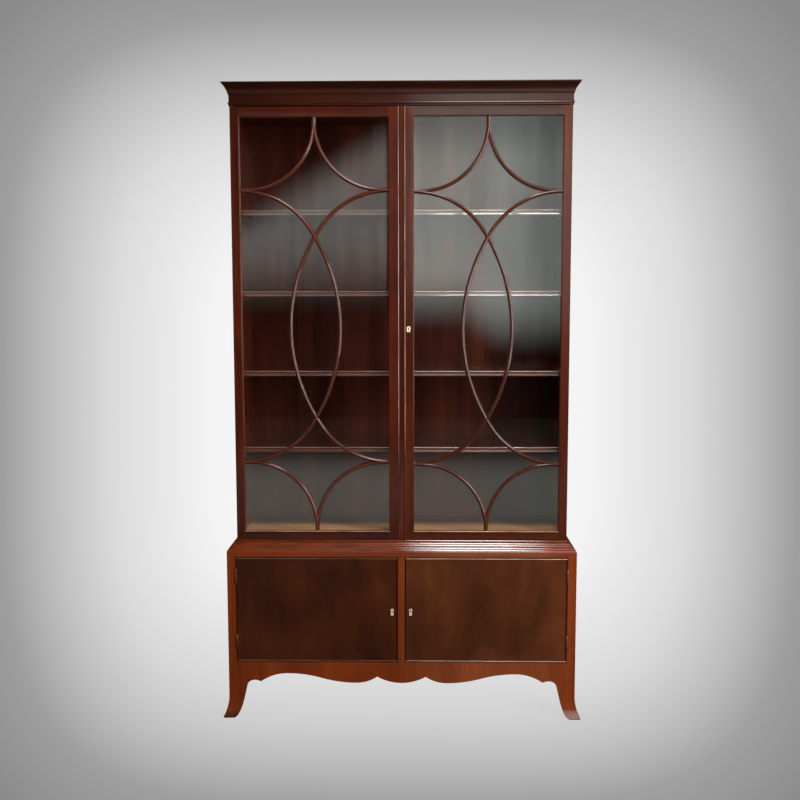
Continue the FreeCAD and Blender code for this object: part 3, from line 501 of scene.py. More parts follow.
right_frame = wood(
    "right_frame", "z", "right", 9.6, mottle=0.3, coat_ior=1.38, dulled=("z", 1.0, 1.9, 0.25),
    rail_span=RIGHT_PANE, rail_shade=(1.15, 0.5))
bar_wood = wood("bars", "uv", "bar", 3.3, coat_ior=1.46, coat_rough=0.06, highlight_colour=BAR_HIGHLIGHT)
strip_wood = wood("strips", "uv", "middle", 2.2, coat=0.5, coat_ior=1.42, highlight_colour=STRIP_HIGHLIGHT)
cock_wood = wood("cock_beads", "uv", "bar", 4.6, coat_ior=1.42, highlight_colour=COCK_HIGHLIGHT)
left_veneer = wood("left_veneer", "z", "left_panel", 11.4, mottle=0.38, figure=0.5, streak=0.32)
right_veneer = wood("right_veneer", "z", "right_panel", 13.8, mottle=0.34, figure=0.5, streak=0.3)
inside_upright = wood("inside_upright", "z", "inside", 15.1, coat=0.1, gloss=0.38)
inside_level = wood("inside_level", "x", "inside", 16.9, coat=0.1, gloss=0.38)
# Shelves: painted highlight on the front rounds, weaker on the left
shelf_wood = wood("shelves", "uv", "shelf", 18.3, coat_ior=1.8, highlight_colour=SHELF_HIGHLIGHT, calm_left=True)
plain_shelf = wood("base_shelf", "x", "shelf", 19.3, coat=0.2, gloss=0.34)
# Painted light on the board's front, painted shade toward its back
tan_board = wood("lit_board", "x", "lit_tan", 21.3, coat=0.2, gloss=0.4, fade_back=True)
carcass = wood("carcass_pine", "x", "pine", 20.5, mottle=0.25, coat=0.0, gloss=0.55)
pane_bead = wood("glazing_beads", "z", "pane_bead", 23.1, coat=0.2, gloss=0.4)
brass = metal("brass", srgb(255, 244, 226), srgb(232, 196, 150), 0.4, 0.55, 0.5, 0.55)
old_brass = metal("old_brass", srgb(176, 122, 88), srgb(92, 56, 36), 0.34, 0.5, 0.9)
steel = metal("lock_steel", srgb(160, 156, 150), srgb(84, 74, 66), 0.3, 0.5, 0.6)
pane_glass = old_glass("drawn_glass")

NODE_MATERIALS = {
    base_upright: "base_side_left base_side_right base_stiles base_centre_muntin front_apron rear_feet",
    base_level: "base_top_rail",
    base_deep: "side_aprons",
    side_upright: "upper_side_left upper_side_right",
    cornice_level: "frieze_rail upper_plinth_rail",
    left_frame: "upper_left_door_frame",
    right_frame: "upper_right_door_frame",
    pane_bead: "upper_left_glazing_beads upper_right_glazing_beads",
    left_veneer: "lower_left_door_panel",
    right_veneer: "lower_right_door_panel",
    inside_upright: "upper_back_panel base_back_panel",
    inside_level: "upper_top_board base_top_board",
    tan_board: "upper_bottom_board",
    plain_shelf: "base_shelf shelf_bearers",
    carcass: "base_bottom_board",
    old_brass: "upper_left_pivots upper_right_pivots upper_pivot_sockets upper_left_bolt_guides "
               "upper_left_top_bolt upper_left_bottom_bolt upper_right_lock upper_right_lock_bolt "
               "lower_left_lock lower_right_lock",
    steel: "lower_left_lock_bolt lower_right_lock_bolt",
    pane_glass: "upper_left_glass upper_right_glass",
}
for material, names in NODE_MATERIALS.items():
    for name in names.split():
        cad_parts[name].material_slots[0].material = material

ARRIS = 0.0009
# The muntin's mortises clear the lock bolts by 0.3 mm, and a wider bevel would fill their corners
MUNTIN_ARRIS = 0.0002
EASED_NODES = ("upper_left_door_frame upper_right_door_frame base_stiles base_centre_muntin "
               "base_top_rail upper_side_left upper_side_right front_apron")

for name in EASED_NODES.split():
    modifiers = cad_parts[name].modifiers
    modifiers.new("join", "WELD").merge_threshold = 0.00001
    bevel = modifiers.new("ease", "BEVEL")
    bevel.width = MUNTIN_ARRIS if name == "base_centre_muntin" else ARRIS
    bevel.segments = 2
    bevel.limit_method = "ANGLE"
    bevel.angle_limit = math.radians(50)
    modifiers.new("normals", "WEIGHTED_NORMAL").weight = 90


# Mouldings round the upper case

# Sections are (out from the case, level) points
REED_ROUND = 1.35
# The ends of the reeds as shares of their slope: two pairs with a quirk between them
REED_ENDS = (0.0, 0.235, 0.47, 0.53, 0.765, 1.0)
QUIRK_DEPTH = 1.5
FILLET_OUT = 3
FILLET_HEIGHT = 4
ASTRAGAL_RISE = 1.9
NOSE_TOP = (WAIST_STEP - 1.9, BASE_HEIGHT + 8.2)
NOSE_ROUND = 0.9
# How far from a hollow, along the section, a moulding's painted highlight reaches its full share
HOLLOW_REACH = 3.2
FRIEZE_FLAT = 2.0


def waist_section():
    """The astragal and the four reeds of the waist, and the hollows between them."""
    start, end = (FILLET_OUT + 2.4, WAIST_TOP - FILLET_HEIGHT - 1.2), NOSE_TOP
    run = math.dist(start, end)
    normal = ((start[1] - end[1]) / run, (end[0] - start[0]) / run)
    at = [(start[0] + (end[0] - start[0]) * s, start[1] + (end[1] - start[1]) * s) for s in REED_ENDS]
    reeds = [bulge(a, b, REED_ROUND, 10) for a, b in zip(at, at[1:])]
    quirk = tuple((a + b) / 2 - n * QUIRK_DEPTH for a, b, n in zip(at[2], at[3], normal))
    top = WAIST_TOP + ASTRAGAL_RISE
    neck = (FILLET_OUT - 0.9, top - 3.6)
    points = [(0, top), (0.8, top)] + bulge((1.0, top - 0.1), (FILLET_OUT + 0.3, top - 2.9), 0.35, 6)
    points += [neck, (neck[0], WAIST_TOP - FILLET_HEIGHT - 0.6)]
    points += reeds[0] + reeds[1] + [quirk] + reeds[3] + reeds[4]
    hollows = [neck, at[0], at[1], quirk, at[4], at[5]]
    return points + [(0, NOSE_TOP[1])], hollows


def waist_nose_section():
    """The round below the reeds, which carries on down into the face of the base."""
    nose = bulge(NOSE_TOP, (WAIST_STEP, BASE_HEIGHT + 0.3), NOSE_ROUND, 8)
    return [(0, BASE_HEIGHT), (0, NOSE_TOP[1])] + nose + [(WAIST_STEP, BASE_HEIGHT)]


def cornice_section():
    """A cove between a small quirk above the frieze and a flat lip at the top."""
    low = TOTAL_HEIGHT - 39
    points = [(0, low - 2), (0.6, low - 2), (0.6, low), (4.4, low + 0.4), (4.7, low + 2)]
    points += bulge((4.9, low + 2.6), (23.4, TOTAL_HEIGHT - 4.6), 2.6, 20)
    points += [(24.5, TOTAL_HEIGHT - 3.4), (24.5, TOTAL_HEIGHT - 0.6), (23.9, TOTAL_HEIGHT)]
    return points + [(0, TOTAL_HEIGHT)]


def frieze_section():
    """The flat of the frieze and the small bead below it."""
    low, top = FRIEZE_BOTTOM, TOTAL_HEIGHT - 41
    points = [(0, low), (2.4, low), (2.7, low + 0.4), (2.7, low + 3.6)]
    points += arc_points((0.7, low + 8.2), 4.2, -90, 90, 14)
    return points + [(FRIEZE_FLAT, low + 12.9), (FRIEZE_FLAT, top), (0, top)]


def around_case(name, section, front_wood, side_wood, node, hollows=()):
    """A moulding in three mitred lengths. The front one's painted highlight share is full clear of its
    hollows, which keep the darker tone as painted shade.
    """
    front = Shape()
    ends = [[(way * (HALF_UPPER + out), UPPER_FRONT - out, z) for out, z in section] for way, side in SIDES]
    wear = [min([1.0] + [math.dist(p, spot) / HOLLOW_REACH for spot in hollows]) for p in section]
    front.loft(ends, [-HALF_UPPER, HALF_UPPER], wear=wear)
    piece(name + "_front", front, front_wood, "cabinet", MOULDING, node)
    for near, (way, side) in zip(ends, SIDES):
        shape = Shape()
        far = [(x, BACK_Y, z) for x, y, z in near]
        shape.loft([near, far], [UPPER_FRONT, BACK_Y])
        piece(name + "_" + side, shape, side_wood, "cabinet", MOULDING, node)


reeds, reed_hollows = waist_section()
around_case("waist_reeds", reeds, waist_level, base_deep, "waist_moulding", reed_hollows)
around_case("waist_nose", waist_nose_section(), base_level, base_deep, "waist_moulding")
around_case("cornice_run", cornice_section(), cornice_level, cornice_deep, "cornice")
around_case("frieze_flat", frieze_section(), cornice_level, cornice_deep, "cornice")


# Front feet

APRON_TOP = 203
SIDE_WING_TOP = 186
FRONT_WING = 114.5
SIDE_WING = 96
FOOT_BOARD = 20
FLARE = 18.7
FLARE_HEIGHT = 78
FLARE_TOE = 3
CUSP_LEVEL = 127.5
CROWN_LEVEL = 133
CROWN_IN = 23.5
CUSP_LIFT = 1.394
BEND_RADIUS = 28
BEND_DEGREES = 75
# How far the inner edge of a front foot stands from the cabinet's middle, by its level
INNER_EDGE = [(112.25, 551.05), (90, 556.5), (70, 561.2), (55, 564.5), (42, 567.8), (30, 571.6),
              (22, 574.9), (15, 578.6), (10, 582.2), (6, 586), (3, 589.8), (1, 593.2), (0, 595.5)]
# How far the rear edge of its side wing stands from the front of the base, by its level
SIDE_EDGE = [(112.25, 45.45), (90, 40), (70, 35.96), (42, 31.64), (20, 29.31), (0, 28)]
FOOT_LEVELS = [112.25, 95, 78, 72, 66, 60, 54, 48, 42, 36, 30, 26, 22, 18, 15, 12, 10, 8, 6, 4.5, 3, 2, 1, 0]


def flare(level):
    """How far the outside of a foot is swept out at a level."""
    rise = FLARE_HEIGHT - FLARE_TOE
    radius = (rise ** 2 + FLARE ** 2) / (2 * FLARE)
    down = min(max(FLARE_HEIGHT - level, 0), rise)
    return radius - math.sqrt(radius ** 2 - down ** 2)


def between(table, level):
    """The value at a level, from (level, value) pairs that run downward."""
    for (high, first), (low, second) in zip(table, table[1:]):
        if level >= low:
            return first + (second - first) * (high - level) / (high - low)
    return table[-1][1]


def foot_crown(cusp, way):
    """The line from a foot's cusp over its crown to where its inner edge starts down."""
    crown = (cusp + way * CROWN_IN, CROWN_LEVEL)
    rise = bulge((cusp, CUSP_LEVEL), crown, way * CUSP_LIFT, 8)
    bend = arc_points((0, CROWN_LEVEL - BEND_RADIUS), BEND_RADIUS, 90, 90 - BEND_DEGREES, 10)
    return rise + [(crown[0] + way * u, z) for u, z in bend[1:]]


def front_feet():
    """Two boards that meet at the corner and are swept out at the toe, which is worn round inside."""
    shape = Shape()
    inside, behind = HALF_BASE - FRONT_WING, BASE_FRONT + SIDE_WING
    back, start = BASE_FRONT + FOOT_BOARD, FOOT_LEVELS[0]
    for way in (-1, 1):
        front_rings, side_rings = [], []
        for z in FOOT_LEVELS:
            x0, x1, y = between(INNER_EDGE, z), HALF_BASE + flare(z), BASE_FRONT - flare(z)
            corners = [(x0, y), (x1, y), (x1, y + FOOT_BOARD), (x0, y + FOOT_BOARD)]
            front_rings.append([(way * x, y, z) for x, y in corners])
            near, far = y + FOOT_BOARD, BASE_FRONT + between(SIDE_EDGE, z)
            corners = [(x1, near), (x1, far), (x1 - FOOT_BOARD, far), (x1 - FOOT_BOARD, near)]
            side_rings.append([(way * x, y, z) for x, y in corners])
        shape.loft(front_rings, FOOT_LEVELS)
        shape.loft(side_rings, FOOT_LEVELS)
        outline = foot_crown(inside, 1) + [(HALF_BASE, start), (HALF_BASE, APRON_TOP), (inside, APRON_TOP)]
        shape.loft([[(way * x, y, z) for x, z in outline] for y in (BASE_FRONT, back)], [BASE_FRONT, back])
        outline = foot_crown(behind, -1) + [(back, start), (back, SIDE_WING_TOP), (behind, SIDE_WING_TOP)]
        sides = (HALF_BASE - FOOT_BOARD, HALF_BASE)
        shape.loft([[(way * x, y, z) for y, z in outline] for x in sides], sides)
    piece("swept_front_feet", shape, base_upright, "cabinet", "mahogany_case", "front_feet")


front_feet()


# Tracery

BAR_HALF = 6.5
BAR_HIGH = 7.5
BAR_NOSE = 3.7
BAR_HIGHLIGHT_REACH = 2.6
BAR_STEP = 9
# The oval's side arcs meet its end arcs where REACH_SHARE and END_SHARE put them
REACH_SHARE = 0.668
END_SHARE = 0.836
END_ANGLE = 88
# The CAD's corner arcs, from which the oval's height follows
CORNER_PAST = 3
CORNER_CLEAR = 5.75
OVAL_CLEAR = 3
# The corner arcs as they show: centred further in, and straight from there into the frame
EDGE_INSET = 2
CORNER_IN = 20
CORNER_MEET = 0.5


def bar_section():
    """Half of an astragal bar: fillet, hollow, then a round nose, mirrored to a whole one."""
    nose = arc_points((0, BAR_HIGH - BAR_NOSE), BAR_NOSE, 0, 90, 8)
    hollow = bulge((BAR_HALF - 0.3, 2.1), (BAR_NOSE + 0.3, BAR_HIGH - BAR_NOSE - 0.4), 0.45, 6)
    half = [(BAR_HALF, 0), (BAR_HALF, 1.6)] + hollow + nose
    return half + [(-a, h) for a, h in half[:-1][::-1]]


def nose_highlight(section, spots, reach, highlight_share=1.0):
    """How much painted highlight each point of a section gets: most at the given spots, and none past reach.
    """
    return [highlight_share * max(max(0.0, 1.0 - math.dist(p, spot) / reach) for spot in spots) for p in section]


def bar_run(shape, middle, way, highlight_share, arcs, lead=0, tail=0):
    """Sweeps the bar's section along arcs: each is (centre across, centre z, radius, start, end), with
    across measured from the middle, way round. lead and tail are straight lengths at their ends."""
    bed = UPPER_FRONT + LIP_DEPTH
    section = bar_section()
    rings, along, gone = [], [], 0.0
    for cx, cz, radius, start, end in arcs:
        length = abs(math.radians(end - start)) * radius
        flip = 1 if end > start else -1
        steps = max(6, round(length / BAR_STEP))
        for i in range(1 if rings else 0, steps + 1):
            turn = math.radians(start + (end - start) * i / steps)
            dx, dz = math.cos(turn), math.sin(turn)
            spots = [(radius + a * flip, bed - h) for a, h in section]
            rings.append([(cx + out * dx, y, cz + out * dz) for out, y in spots])
            along.append(gone + length * i / steps)
        gone = along[-1]
    for run, at, angle in ((-lead, 0, arcs[0][3]), (tail, len(rings), arcs[-1][4])):
        if run:
            turn = math.radians(angle)
            dx, dz = -math.sin(turn) * flip * run, math.cos(turn) * flip * run
            last = min(at, len(rings) - 1)
            rings.insert(at, [(x + dx, y, z + dz) for x, y, z in rings[last]])
            along.insert(at, along[last] + run)
    rings = [[(middle + way * x, y, z) for x, y, z in ring] for ring in rings]
    # Painted highlight along the bar's round nose
    shape.loft(rings, along, wear=nose_highlight(section, [(0, BAR_HIGH)], BAR_HIGHLIGHT_REACH, highlight_share))


def tracery(side, pane, drop, highlight_share):
    """An oval of two crossing curves, and four corner arcs that make a star of its ends."""
    middle, half_width = (pane[0] + pane[1]) / 2, (pane[1] - pane[0]) / 2
    zm = (PANE_BOTTOM + PANE_TOP) / 2 - drop
    half_pane = (PANE_TOP - PANE_BOTTOM) / 2
    corner_end = half_pane + CORNER_PAST - (half_width - EDGE_INSET - CORNER_CLEAR)
    half_height = corner_end - OVAL_CLEAR
    reach = 2 * half_width * REACH_SHARE
    end_radius = reach * END_SHARE
    rise = half_height - end_radius
    side_radius = (reach ** 2 + half_height ** 2 - 2 * half_height * end_radius) / (2 * (reach - end_radius))
    side_offset = side_radius - reach
    join = math.degrees(math.atan2(rise, side_offset))
    oval_side = [
        (half_width, zm + rise, end_radius, END_ANGLE, 180 - join),
        (half_width + side_offset, zm, side_radius, 180 - join, 180 + join),
        (half_width, zm - rise, end_radius, 180 + join, 360 - END_ANGLE),
    ]
    centre_in = EDGE_INSET + CORNER_IN
    radius = half_width - CORNER_MEET - centre_in
    level = corner_end + radius - 1
    shape = Shape()
    for way in (1, -1):
        bar_run(shape, middle, way, highlight_share, oval_side)
        for up in (1, -1):
            corner = (centre_in - half_width, zm + up * level, radius, -90 * up, 0)
            bar_run(shape, middle, way, highlight_share, [corner], CORNER_IN + 8, half_pane - level + 11)
    door = "upper_" + side
    piece(side + "_tracery_bars", shape, bar_wood, door + "_door", MOULDING, door + "_tracery")


# The left bars carry the painted highlight on their noses, the right ones hardly any
tracery("left", LEFT_PANE, 0, 1.0)
tracery("right", RIGHT_PANE, 6, 0.1)


# Beads

# How much painted highlight the middle strips get, as (level, share) pairs
STRIP_HIGHLIGHT_LEVELS = [(DOOR_BOTTOM, 0.05), (900, 0.1), (1120, 1.0), (1600, 1.0), (1950, 0.7), (DOOR_TOP, 0.45)]
STRIP_HIGHLIGHT_REACH = 1.6
STRIP_HIGH = 2.6
STRIP_ROUND = 2.2
STRIP_END = RIGHT_CLOSE + 20
CLOSING_ROUND = 2.8


def upright_strip(name, section, spots, body, *replaced):
    """A strip on the front of a door's closing stile, whose section holds (x, height) points."""
    shape = Shape()
    wear = nose_highlight(section, spots, STRIP_HIGHLIGHT_REACH)
    levels = [z for z, share in STRIP_HIGHLIGHT_LEVELS]
    rings = [[(x, UPPER_FRONT - out, z) for x, out in section] for z in levels]
    shape.loft(rings, levels)
    # Painted highlight on the nose, scaled by the share at each level
    shape.wear = [value * share for z, share in STRIP_HIGHLIGHT_LEVELS for value in wear]
    piece(name, shape, strip_wood, body, MOULDING, *replaced)


round_start, round_middle = STRIP_END - 2 * STRIP_ROUND, STRIP_END - STRIP_ROUND
strip = [(RIGHT_CLOSE, 0), (RIGHT_CLOSE, STRIP_HIGH - 0.5), (RIGHT_CLOSE + 0.5, STRIP_HIGH)]
strip += [(round_start - 1.2, STRIP_HIGH), (round_start - 0.5, 0.8)]
strip += arc_points((round_middle, 2.4), STRIP_ROUND, 170, 0, 12) + [(STRIP_END, 0)]
spots = [(round_middle, 2.4 + STRIP_ROUND)]
upright_strip("joint_cover_strip", strip, spots, "upper_right_door", "upper_right_cover_bead")

bead_middle = LEFT_CLOSE - CLOSING_ROUND
edge_bead = [(LEFT_CLOSE - 7.5, -0.5), (LEFT_CLOSE - 6.6, 0.3)]
edge_bead += arc_points((bead_middle, 0.0), CLOSING_ROUND, 175, 0, 14) + [(LEFT_CLOSE, -0.5)]
upright_strip("left_closing_bead", edge_bead, [(bead_middle, CLOSING_ROUND)], "upper_left_door")


def sight_beads(side, pane):
    """A small round in the splay round a pane, mitred at its corners, with a painted highlight along the
    bottom, where light falls on it from above, and a narrow one on the other sides.
    """
    x0, x1 = pane
    section = [(0.0, 2.3)] + arc_points((1.15, 1.25), 1.05, 90, 270, 8)[::-1] + [(2.3, 0.0), (2.6, 2.6)]
    shape, low = Shape(), Shape()
    low_z, top_z = PANE_BOTTOM, PANE_TOP
    corners = [(x0, low_z, -1, -1), (x1, low_z, 1, -1), (x1, top_z, 1, 1), (x0, top_z, -1, 1)]
    side_highlight = nose_highlight(section, [(0.3, 0.6)], 1.1)
    for a, b in zip(corners, corners[1:] + corners[:1]):
        rings = [[(x + sx * u, UPPER_FRONT + d, z + sz * u) for u, d in section] for x, z, sx, sz in (a, b)]
        at_bottom = a[1] == b[1] == low_z
        target, wear = (low, [1.0] * len(section)) if at_bottom else (shape, side_highlight)
        target.loft(rings, [0, math.dist(a[:2], b[:2])], wear=wear)
    name, body = side + "_sight_beads", "upper_" + side + "_door"
    piece(name, shape, bar_wood, body, MOULDING)
    piece(name + "_low", low, strip_wood, body, MOULDING)


sight_beads("left", LEFT_PANE)
sight_beads("right", RIGHT_PANE)


# Shelves

SHELF_LEVELS = (941.75, 1212.4, 1491.8, 1771.3)
SHELF_FRONT = -78.15
SHELF_BACK = 162.35
SHELF_HALF = 564
SHELF_BOARD = 19
SHELF_ROUND = 2.9
SHELF_HIGHLIGHT_REACH = 1.5


def shelf(number, level):
    """A shelf with a round along the top and the bottom of its front edge."""
    near, back, r, top = SHELF_FRONT, SHELF_BACK, SHELF_ROUND, level + SHELF_BOARD
    section = [(back, level), (back, top), (near + r, top)]
    section += [(near + r - 0.5, top)] + arc_points((near + r, top - r), r, 90, 190, 10)[1:]
    section += [(near + 1.8, top - 2 * r - 0.2), (near + 1.8, level + 2 * r + 0.2)]
    section += arc_points((near + r, level + r), r, 170, 270, 10)
    spots = [(near + 0.9, top - 0.9), (near + 0.9, level + 2 * r - 0.9)]
    shape = Shape()
    ends = (-SHELF_HALF, SHELF_HALF)
    rings = [[(x, y, z) for y, z in section] for x in ends]
    # Painted highlight along both rounds of the front edge
    shape.loft(rings, ends, wear=nose_highlight(section, spots, SHELF_HIGHLIGHT_REACH))
    name = "shelf_%d" % number
    piece("glazed_case_" + name, shape, shelf_wood, "cabinet", "shelf_board", name)


for number, level in enumerate(SHELF_LEVELS, start=1):
    shelf(number, level)


# Cock beads of the lower doors

HINGE_LEVELS = (271.5, 510.5)
HINGE_HALF = 27
COCK_WIDTH = 3.2
COCK_NEAR = BASE_FRONT - 2
COCK_FAR = BASE_FRONT + 10
COCK_HIGHLIGHT_REACH = 1.6


def cock_beads(way, side, highlight_share):
    """Half-round beads in the edges of a lower door, cut away at its hinges."""
    x0, x1, z0, z1 = LOW_DOOR
    r = COCK_WIDTH / 2
    section = [(0, COCK_FAR)] + arc_points((r, COCK_NEAR + r), r, 180, 360, 12) + [(COCK_WIDTH, COCK_FAR)]
    # Painted highlight along the noses of the top and bottom lengths
    wear = nose_highlight(section, [(r, COCK_NEAR)], COCK_HIGHLIGHT_REACH, highlight_share)
    shape = Shape()

    def corner(u, y, at_x, at_z):
        x = x1 - u if at_x > 0 else x0 + u
        z = z1 - u if at_z > 0 else z0 + u
        return (way * x, y, z)

    for at_z in (1, -1):
        shape.loft([[corner(u, y, s, at_z) for u, y in section] for s in (-1, 1)], [x0, x1], wear=wear)
    shape.loft([[corner(u, y, -1, s) for u, y in section] for s in (-1, 1)], [z0, z1])
    lower, upper = [(level - HINGE_HALF, level + HINGE_HALF) for level in HINGE_LEVELS]
    for low, high in ((None, lower[0]), (lower[1], upper[0]), (upper[1], None)):
        rings = [[(way * (x1 - u), y, level) if level else corner(u, y, 1, end) for u, y in section]
                 for level, end in ((low, -1), (high, 1))]
        shape.loft(rings, [low or z0, high or z1])
    door = "lower_" + side
    piece(side + "_cock_beads", shape, cock_wood, door + "_door", MOULDING, door + "_cock_bead")


# The right door's beads carry a strong painted highlight, the left door's a weak one
cock_beads(1, "right", 1.0)
cock_beads(-1, "left", 0.3)


# Hinges of the lower doors

HINGE_X = 583.5
HINGE_Y = -153.65
KNUCKLE = 3.0
KNUCKLE_GAP = 0.15
PIN = 1.35
LEAF_NEAR = HINGE_Y + 3.3
LEAF_FAR = LEAF_NEAR + 16
SCREW_RADIUS = 2.4
SCREW_PITCH = 18
# The ends of a knuckle as (radius, distance from the end) points
FLAT_END = [(1.5, 0), (KNUCKLE - 0.35, 0), (KNUCKLE, 0.35)]
DOMED_END = [(0.3, 0), (KNUCKLE * 0.6, 0.25), (KNUCKLE * 0.86, 0.75), (KNUCKLE, 1.6)]


def knuckle(shape, x, low, high, start=FLAT_END, end=FLAT_END):
    profile = start + [(radius, high - low - inset) for radius, inset in end[::-1]]
    shape.turned((x, HINGE_Y, low), (0, 0, 1), (1, 0, 0), profile)


def hinge_parts(way, case, case_screws):
    """Adds the case leaves of one side's hinges, and returns their door leaves and its screws."""
    door, door_screws = Shape(), Shape()
    pitch = 2 * HINGE_HALF / 3
    x = way * HINGE_X
    for level in HINGE_LEVELS:
        ends = [level - HINGE_HALF + pitch * i for i in range(4)]
        low, middle, high = [(a + KNUCKLE_GAP, b - KNUCKLE_GAP) for a, b in zip(ends, ends[1:])]
        knuckle(case, x, *low, start=DOMED_END)
        knuckle(case, x, *high, end=DOMED_END)
        knuckle(door, x, *middle)
        pin = [(PIN, 0), (PIN, 2 * HINGE_HALF - 8)]
        case.turned((x, HINGE_Y, ends[0] + 4), (0, 0, 1), (1, 0, 0), pin, steps=20)
        for shape, side, spans in ((case, 1, (low, high)), (door, -1, (middle,))):
            x0, x1 = x + way * side * 0.15, x + way * side * 2.0
            shape.block((x0, LEAF_NEAR, ends[0]), (x1, LEAF_FAR, ends[3]), 0.25)
            for bottom, top in spans:
                shape.block((x0, HINGE_Y, bottom + 0.5), (x1, LEAF_NEAR + 0.5, top - 0.5), 0.1)
        for n, turn in zip((-1, 0, 1), (20, 75, 130)):
            y, z = LEAF_NEAR + 8 + abs(n) * 2.5, level + n * SCREW_PITCH
            case_screws.screw((x + way * 0.15, y, z), (-way, 0, 0), (0, 1, 0), SCREW_RADIUS, turn)
            door_screws.screw((x - way * 0.15, y, z), (way, 0, 0), (0, 1, 0), SCREW_RADIUS, turn + 35)
    return door, door_screws


case_leaves, case_heads = Shape(), Shape()
for way, side in SIDES:
    door, door_screws = hinge_parts(way, case_leaves, case_heads)
    body, node = "lower_%s_door" % side, "lower_%s_hinge_leaves" % side
    piece(side + "_door_hinge_leaves", door, old_brass, body, "brass_furniture", node)
    piece(side + "_door_hinge_screws", door_screws, steel, body, "lock_steel")
piece("case_hinge_leaves", case_leaves, old_brass, "cabinet", "brass_furniture", "lower_hinge_case_leaves")
piece("case_hinge_screws", case_heads, steel, "cabinet", "lock_steel")


# Escutcheons

KEYHOLE_RADIUS = 2.9
SLOT_HALF = 1.4
SLOT_DEEP = 8
PLATE_POINTS = 144
# name, door, place across and level of the middle, width, height, face of the door
ESCUTCHEONS = [
    ("upper", "upper_right", 25.75, 1379.75, 14, 20, UPPER_FRONT),
    ("lower_right", "lower_right", 32.5, 383, 11.5, 25, BASE_FRONT),
    ("lower_left", "lower_left", -32.5, 383, 11.5, 25, BASE_FRONT),
]


def escutcheon(name, node, body, x, z, width, height, front):
    """A cast keyhole plate: a disc over a skirt that widens down, round a keyhole with a slot."""
    radius = width / 2
    centre = z + height / 2 - radius
    foot_level = z - height / 2 - centre
    waist, foot = radius * 0.72, radius * 0.86
    near, far = front - 0.6, front + 1.4

    def reach(angle, circle, outline):
        """How far it is from the centre to the circle, or to the outline where that is further."""
        spun = [complex(*point) * cmath.rect(1, -angle) for point in outline]
        pairs = [(a, b) for a, b in zip(spun, spun[1:]) if a.imag * b.imag < 0]
        hits = [(a.real * b.imag - b.real * a.imag) / (b.imag - a.imag) for a, b in pairs]
        return max([circle] + hits)

    skirt = [(waist, 0), (foot, foot_level), (-foot, foot_level), (-waist, 0)]
    slot = [(SLOT_HALF, 0), (SLOT_HALF, -SLOT_DEEP), (-SLOT_HALF, -SLOT_DEEP), (-SLOT_HALF, 0)]
    angles = [2 * math.pi * (i + 0.5) / PLATE_POINTS for i in range(PLATE_POINTS)]
    outer = [(a, reach(a, radius, skirt)) for a in angles]
    inner = [(a, reach(a, KEYHOLE_RADIUS, slot)) for a in angles]

    def ring(profile, grow, y):
        return [(x + (r + grow) * math.cos(a), y, centre + (r + grow) * math.sin(a)) for a, r in profile]

    shape = Shape()
    rings = [
        ring(outer, 0, far), ring(outer, 0, near + 0.55), ring(outer, -0.2, near + 0.2),
        ring(outer, -0.6, near), ring(inner, 0.75, near), ring(inner, 0.25, near + 0.12),
        ring(inner, 0, near + 0.45), ring(inner, 0, far),
    ]
    shape.loft(rings, list(range(len(rings))), closed=True)
    piece(name, shape, brass, body, "brass_furniture", node)


for name, door, *settings in ESCUTCHEONS:
    escutcheon(name + "_keyhole_plate", door + "_escutcheon", door + "_door", *settings)


# Floor, background, lights and camera

CAMERA_PLACE = Vector((61.67, -3594.6, 1491.25)) * MM
PITCH, YAW, ROLL = (math.radians(a) for a in (5.8804, -1.0838, -0.0945))
FORWARD = Vector((math.sin(YAW) * math.cos(PITCH), math.cos(YAW) * math.cos(PITCH), -math.sin(PITCH)))
LEVEL_RIGHT = Vector((math.cos(YAW), -math.sin(YAW), 0))
LEVEL_UP = LEVEL_RIGHT.cross(FORWARD)
RIGHT = LEVEL_RIGHT * math.cos(ROLL) + LEVEL_UP * math.sin(ROLL)
UP = LEVEL_UP * math.cos(ROLL) - LEVEL_RIGHT * math.sin(ROLL)
LENS = 45.09
SENSOR_WIDTH = 36
# The ground's brightness on screen, by the distance from the middle of the view
GROUND = [(0.0, 250), (0.12, 248), (0.19, 243), (0.215, 237), (0.285, 219), (0.345, 191), (0.395, 159),
          (0.47, 138), (0.62, 128)]
GROUND_ELSEWHERE = srgb(234, 234, 234)
# What polished things mirror of the world, by height
SHEEN = [(0.0, 0.03), (0.18, 0.02), (0.4, 0.025), (1.0, 0.03)]
SOFT_LIGHT = 0.16
FLOOR_HALF = 400
FLOOR_GREY = 0.3
FLOOR_STRIP = (0.95, 1.0, 0.92, 1)
# The soft panel: left, right, low and high edge and distance in front, in metres
PANEL = (-2.6, 3.2, 0.4, 4.4, -5.6)
PANEL_STRENGTH = 2.9
# name, place, target, size, watts
LAMPS = [
    ("overhead", (0.44, -1.5, 3.5), (0.2, -0.1, 0.65), (0.72, 2.2), 64),
    ("key", (2.35, -2.1, 1.7), (0.1, 0.0, 1.1), (0.6, 2.2), 112),
    ("fill", (-2.7, -3.2, 1.9), (0.0, 0.0, 1.1), (0.7, 2.2), 8),
]
LAMP_COLOUR = (1.0, 0.98, 0.95)


def backdrop_colour(g, direction):
    """A pale ground that darkens evenly away from the middle of the main view."""
    ahead, across, above = [
        g.vector("DOT_PRODUCT", direction, axis, output=1) for axis in (FORWARD, RIGHT, UP)]
    depth = g.math("MAXIMUM", ahead, 0.02)
    offsets = g.math("DIVIDE", across, depth), g.plus(g.math("DIVIDE", above, depth), 0.010)
    fourth = g.plus(*[g.math("POWER", g.math("ABSOLUTE", offset), 4.0) for offset in offsets])
    away = g.math("POWER", fourth, 0.25)
    main = g.ramp(away, [(place, srgb(level, level, level)) for place, level in GROUND])
    return g.mix(g.spread(ahead, 0.6, 0.84), GROUND_ELSEWHERE, main)


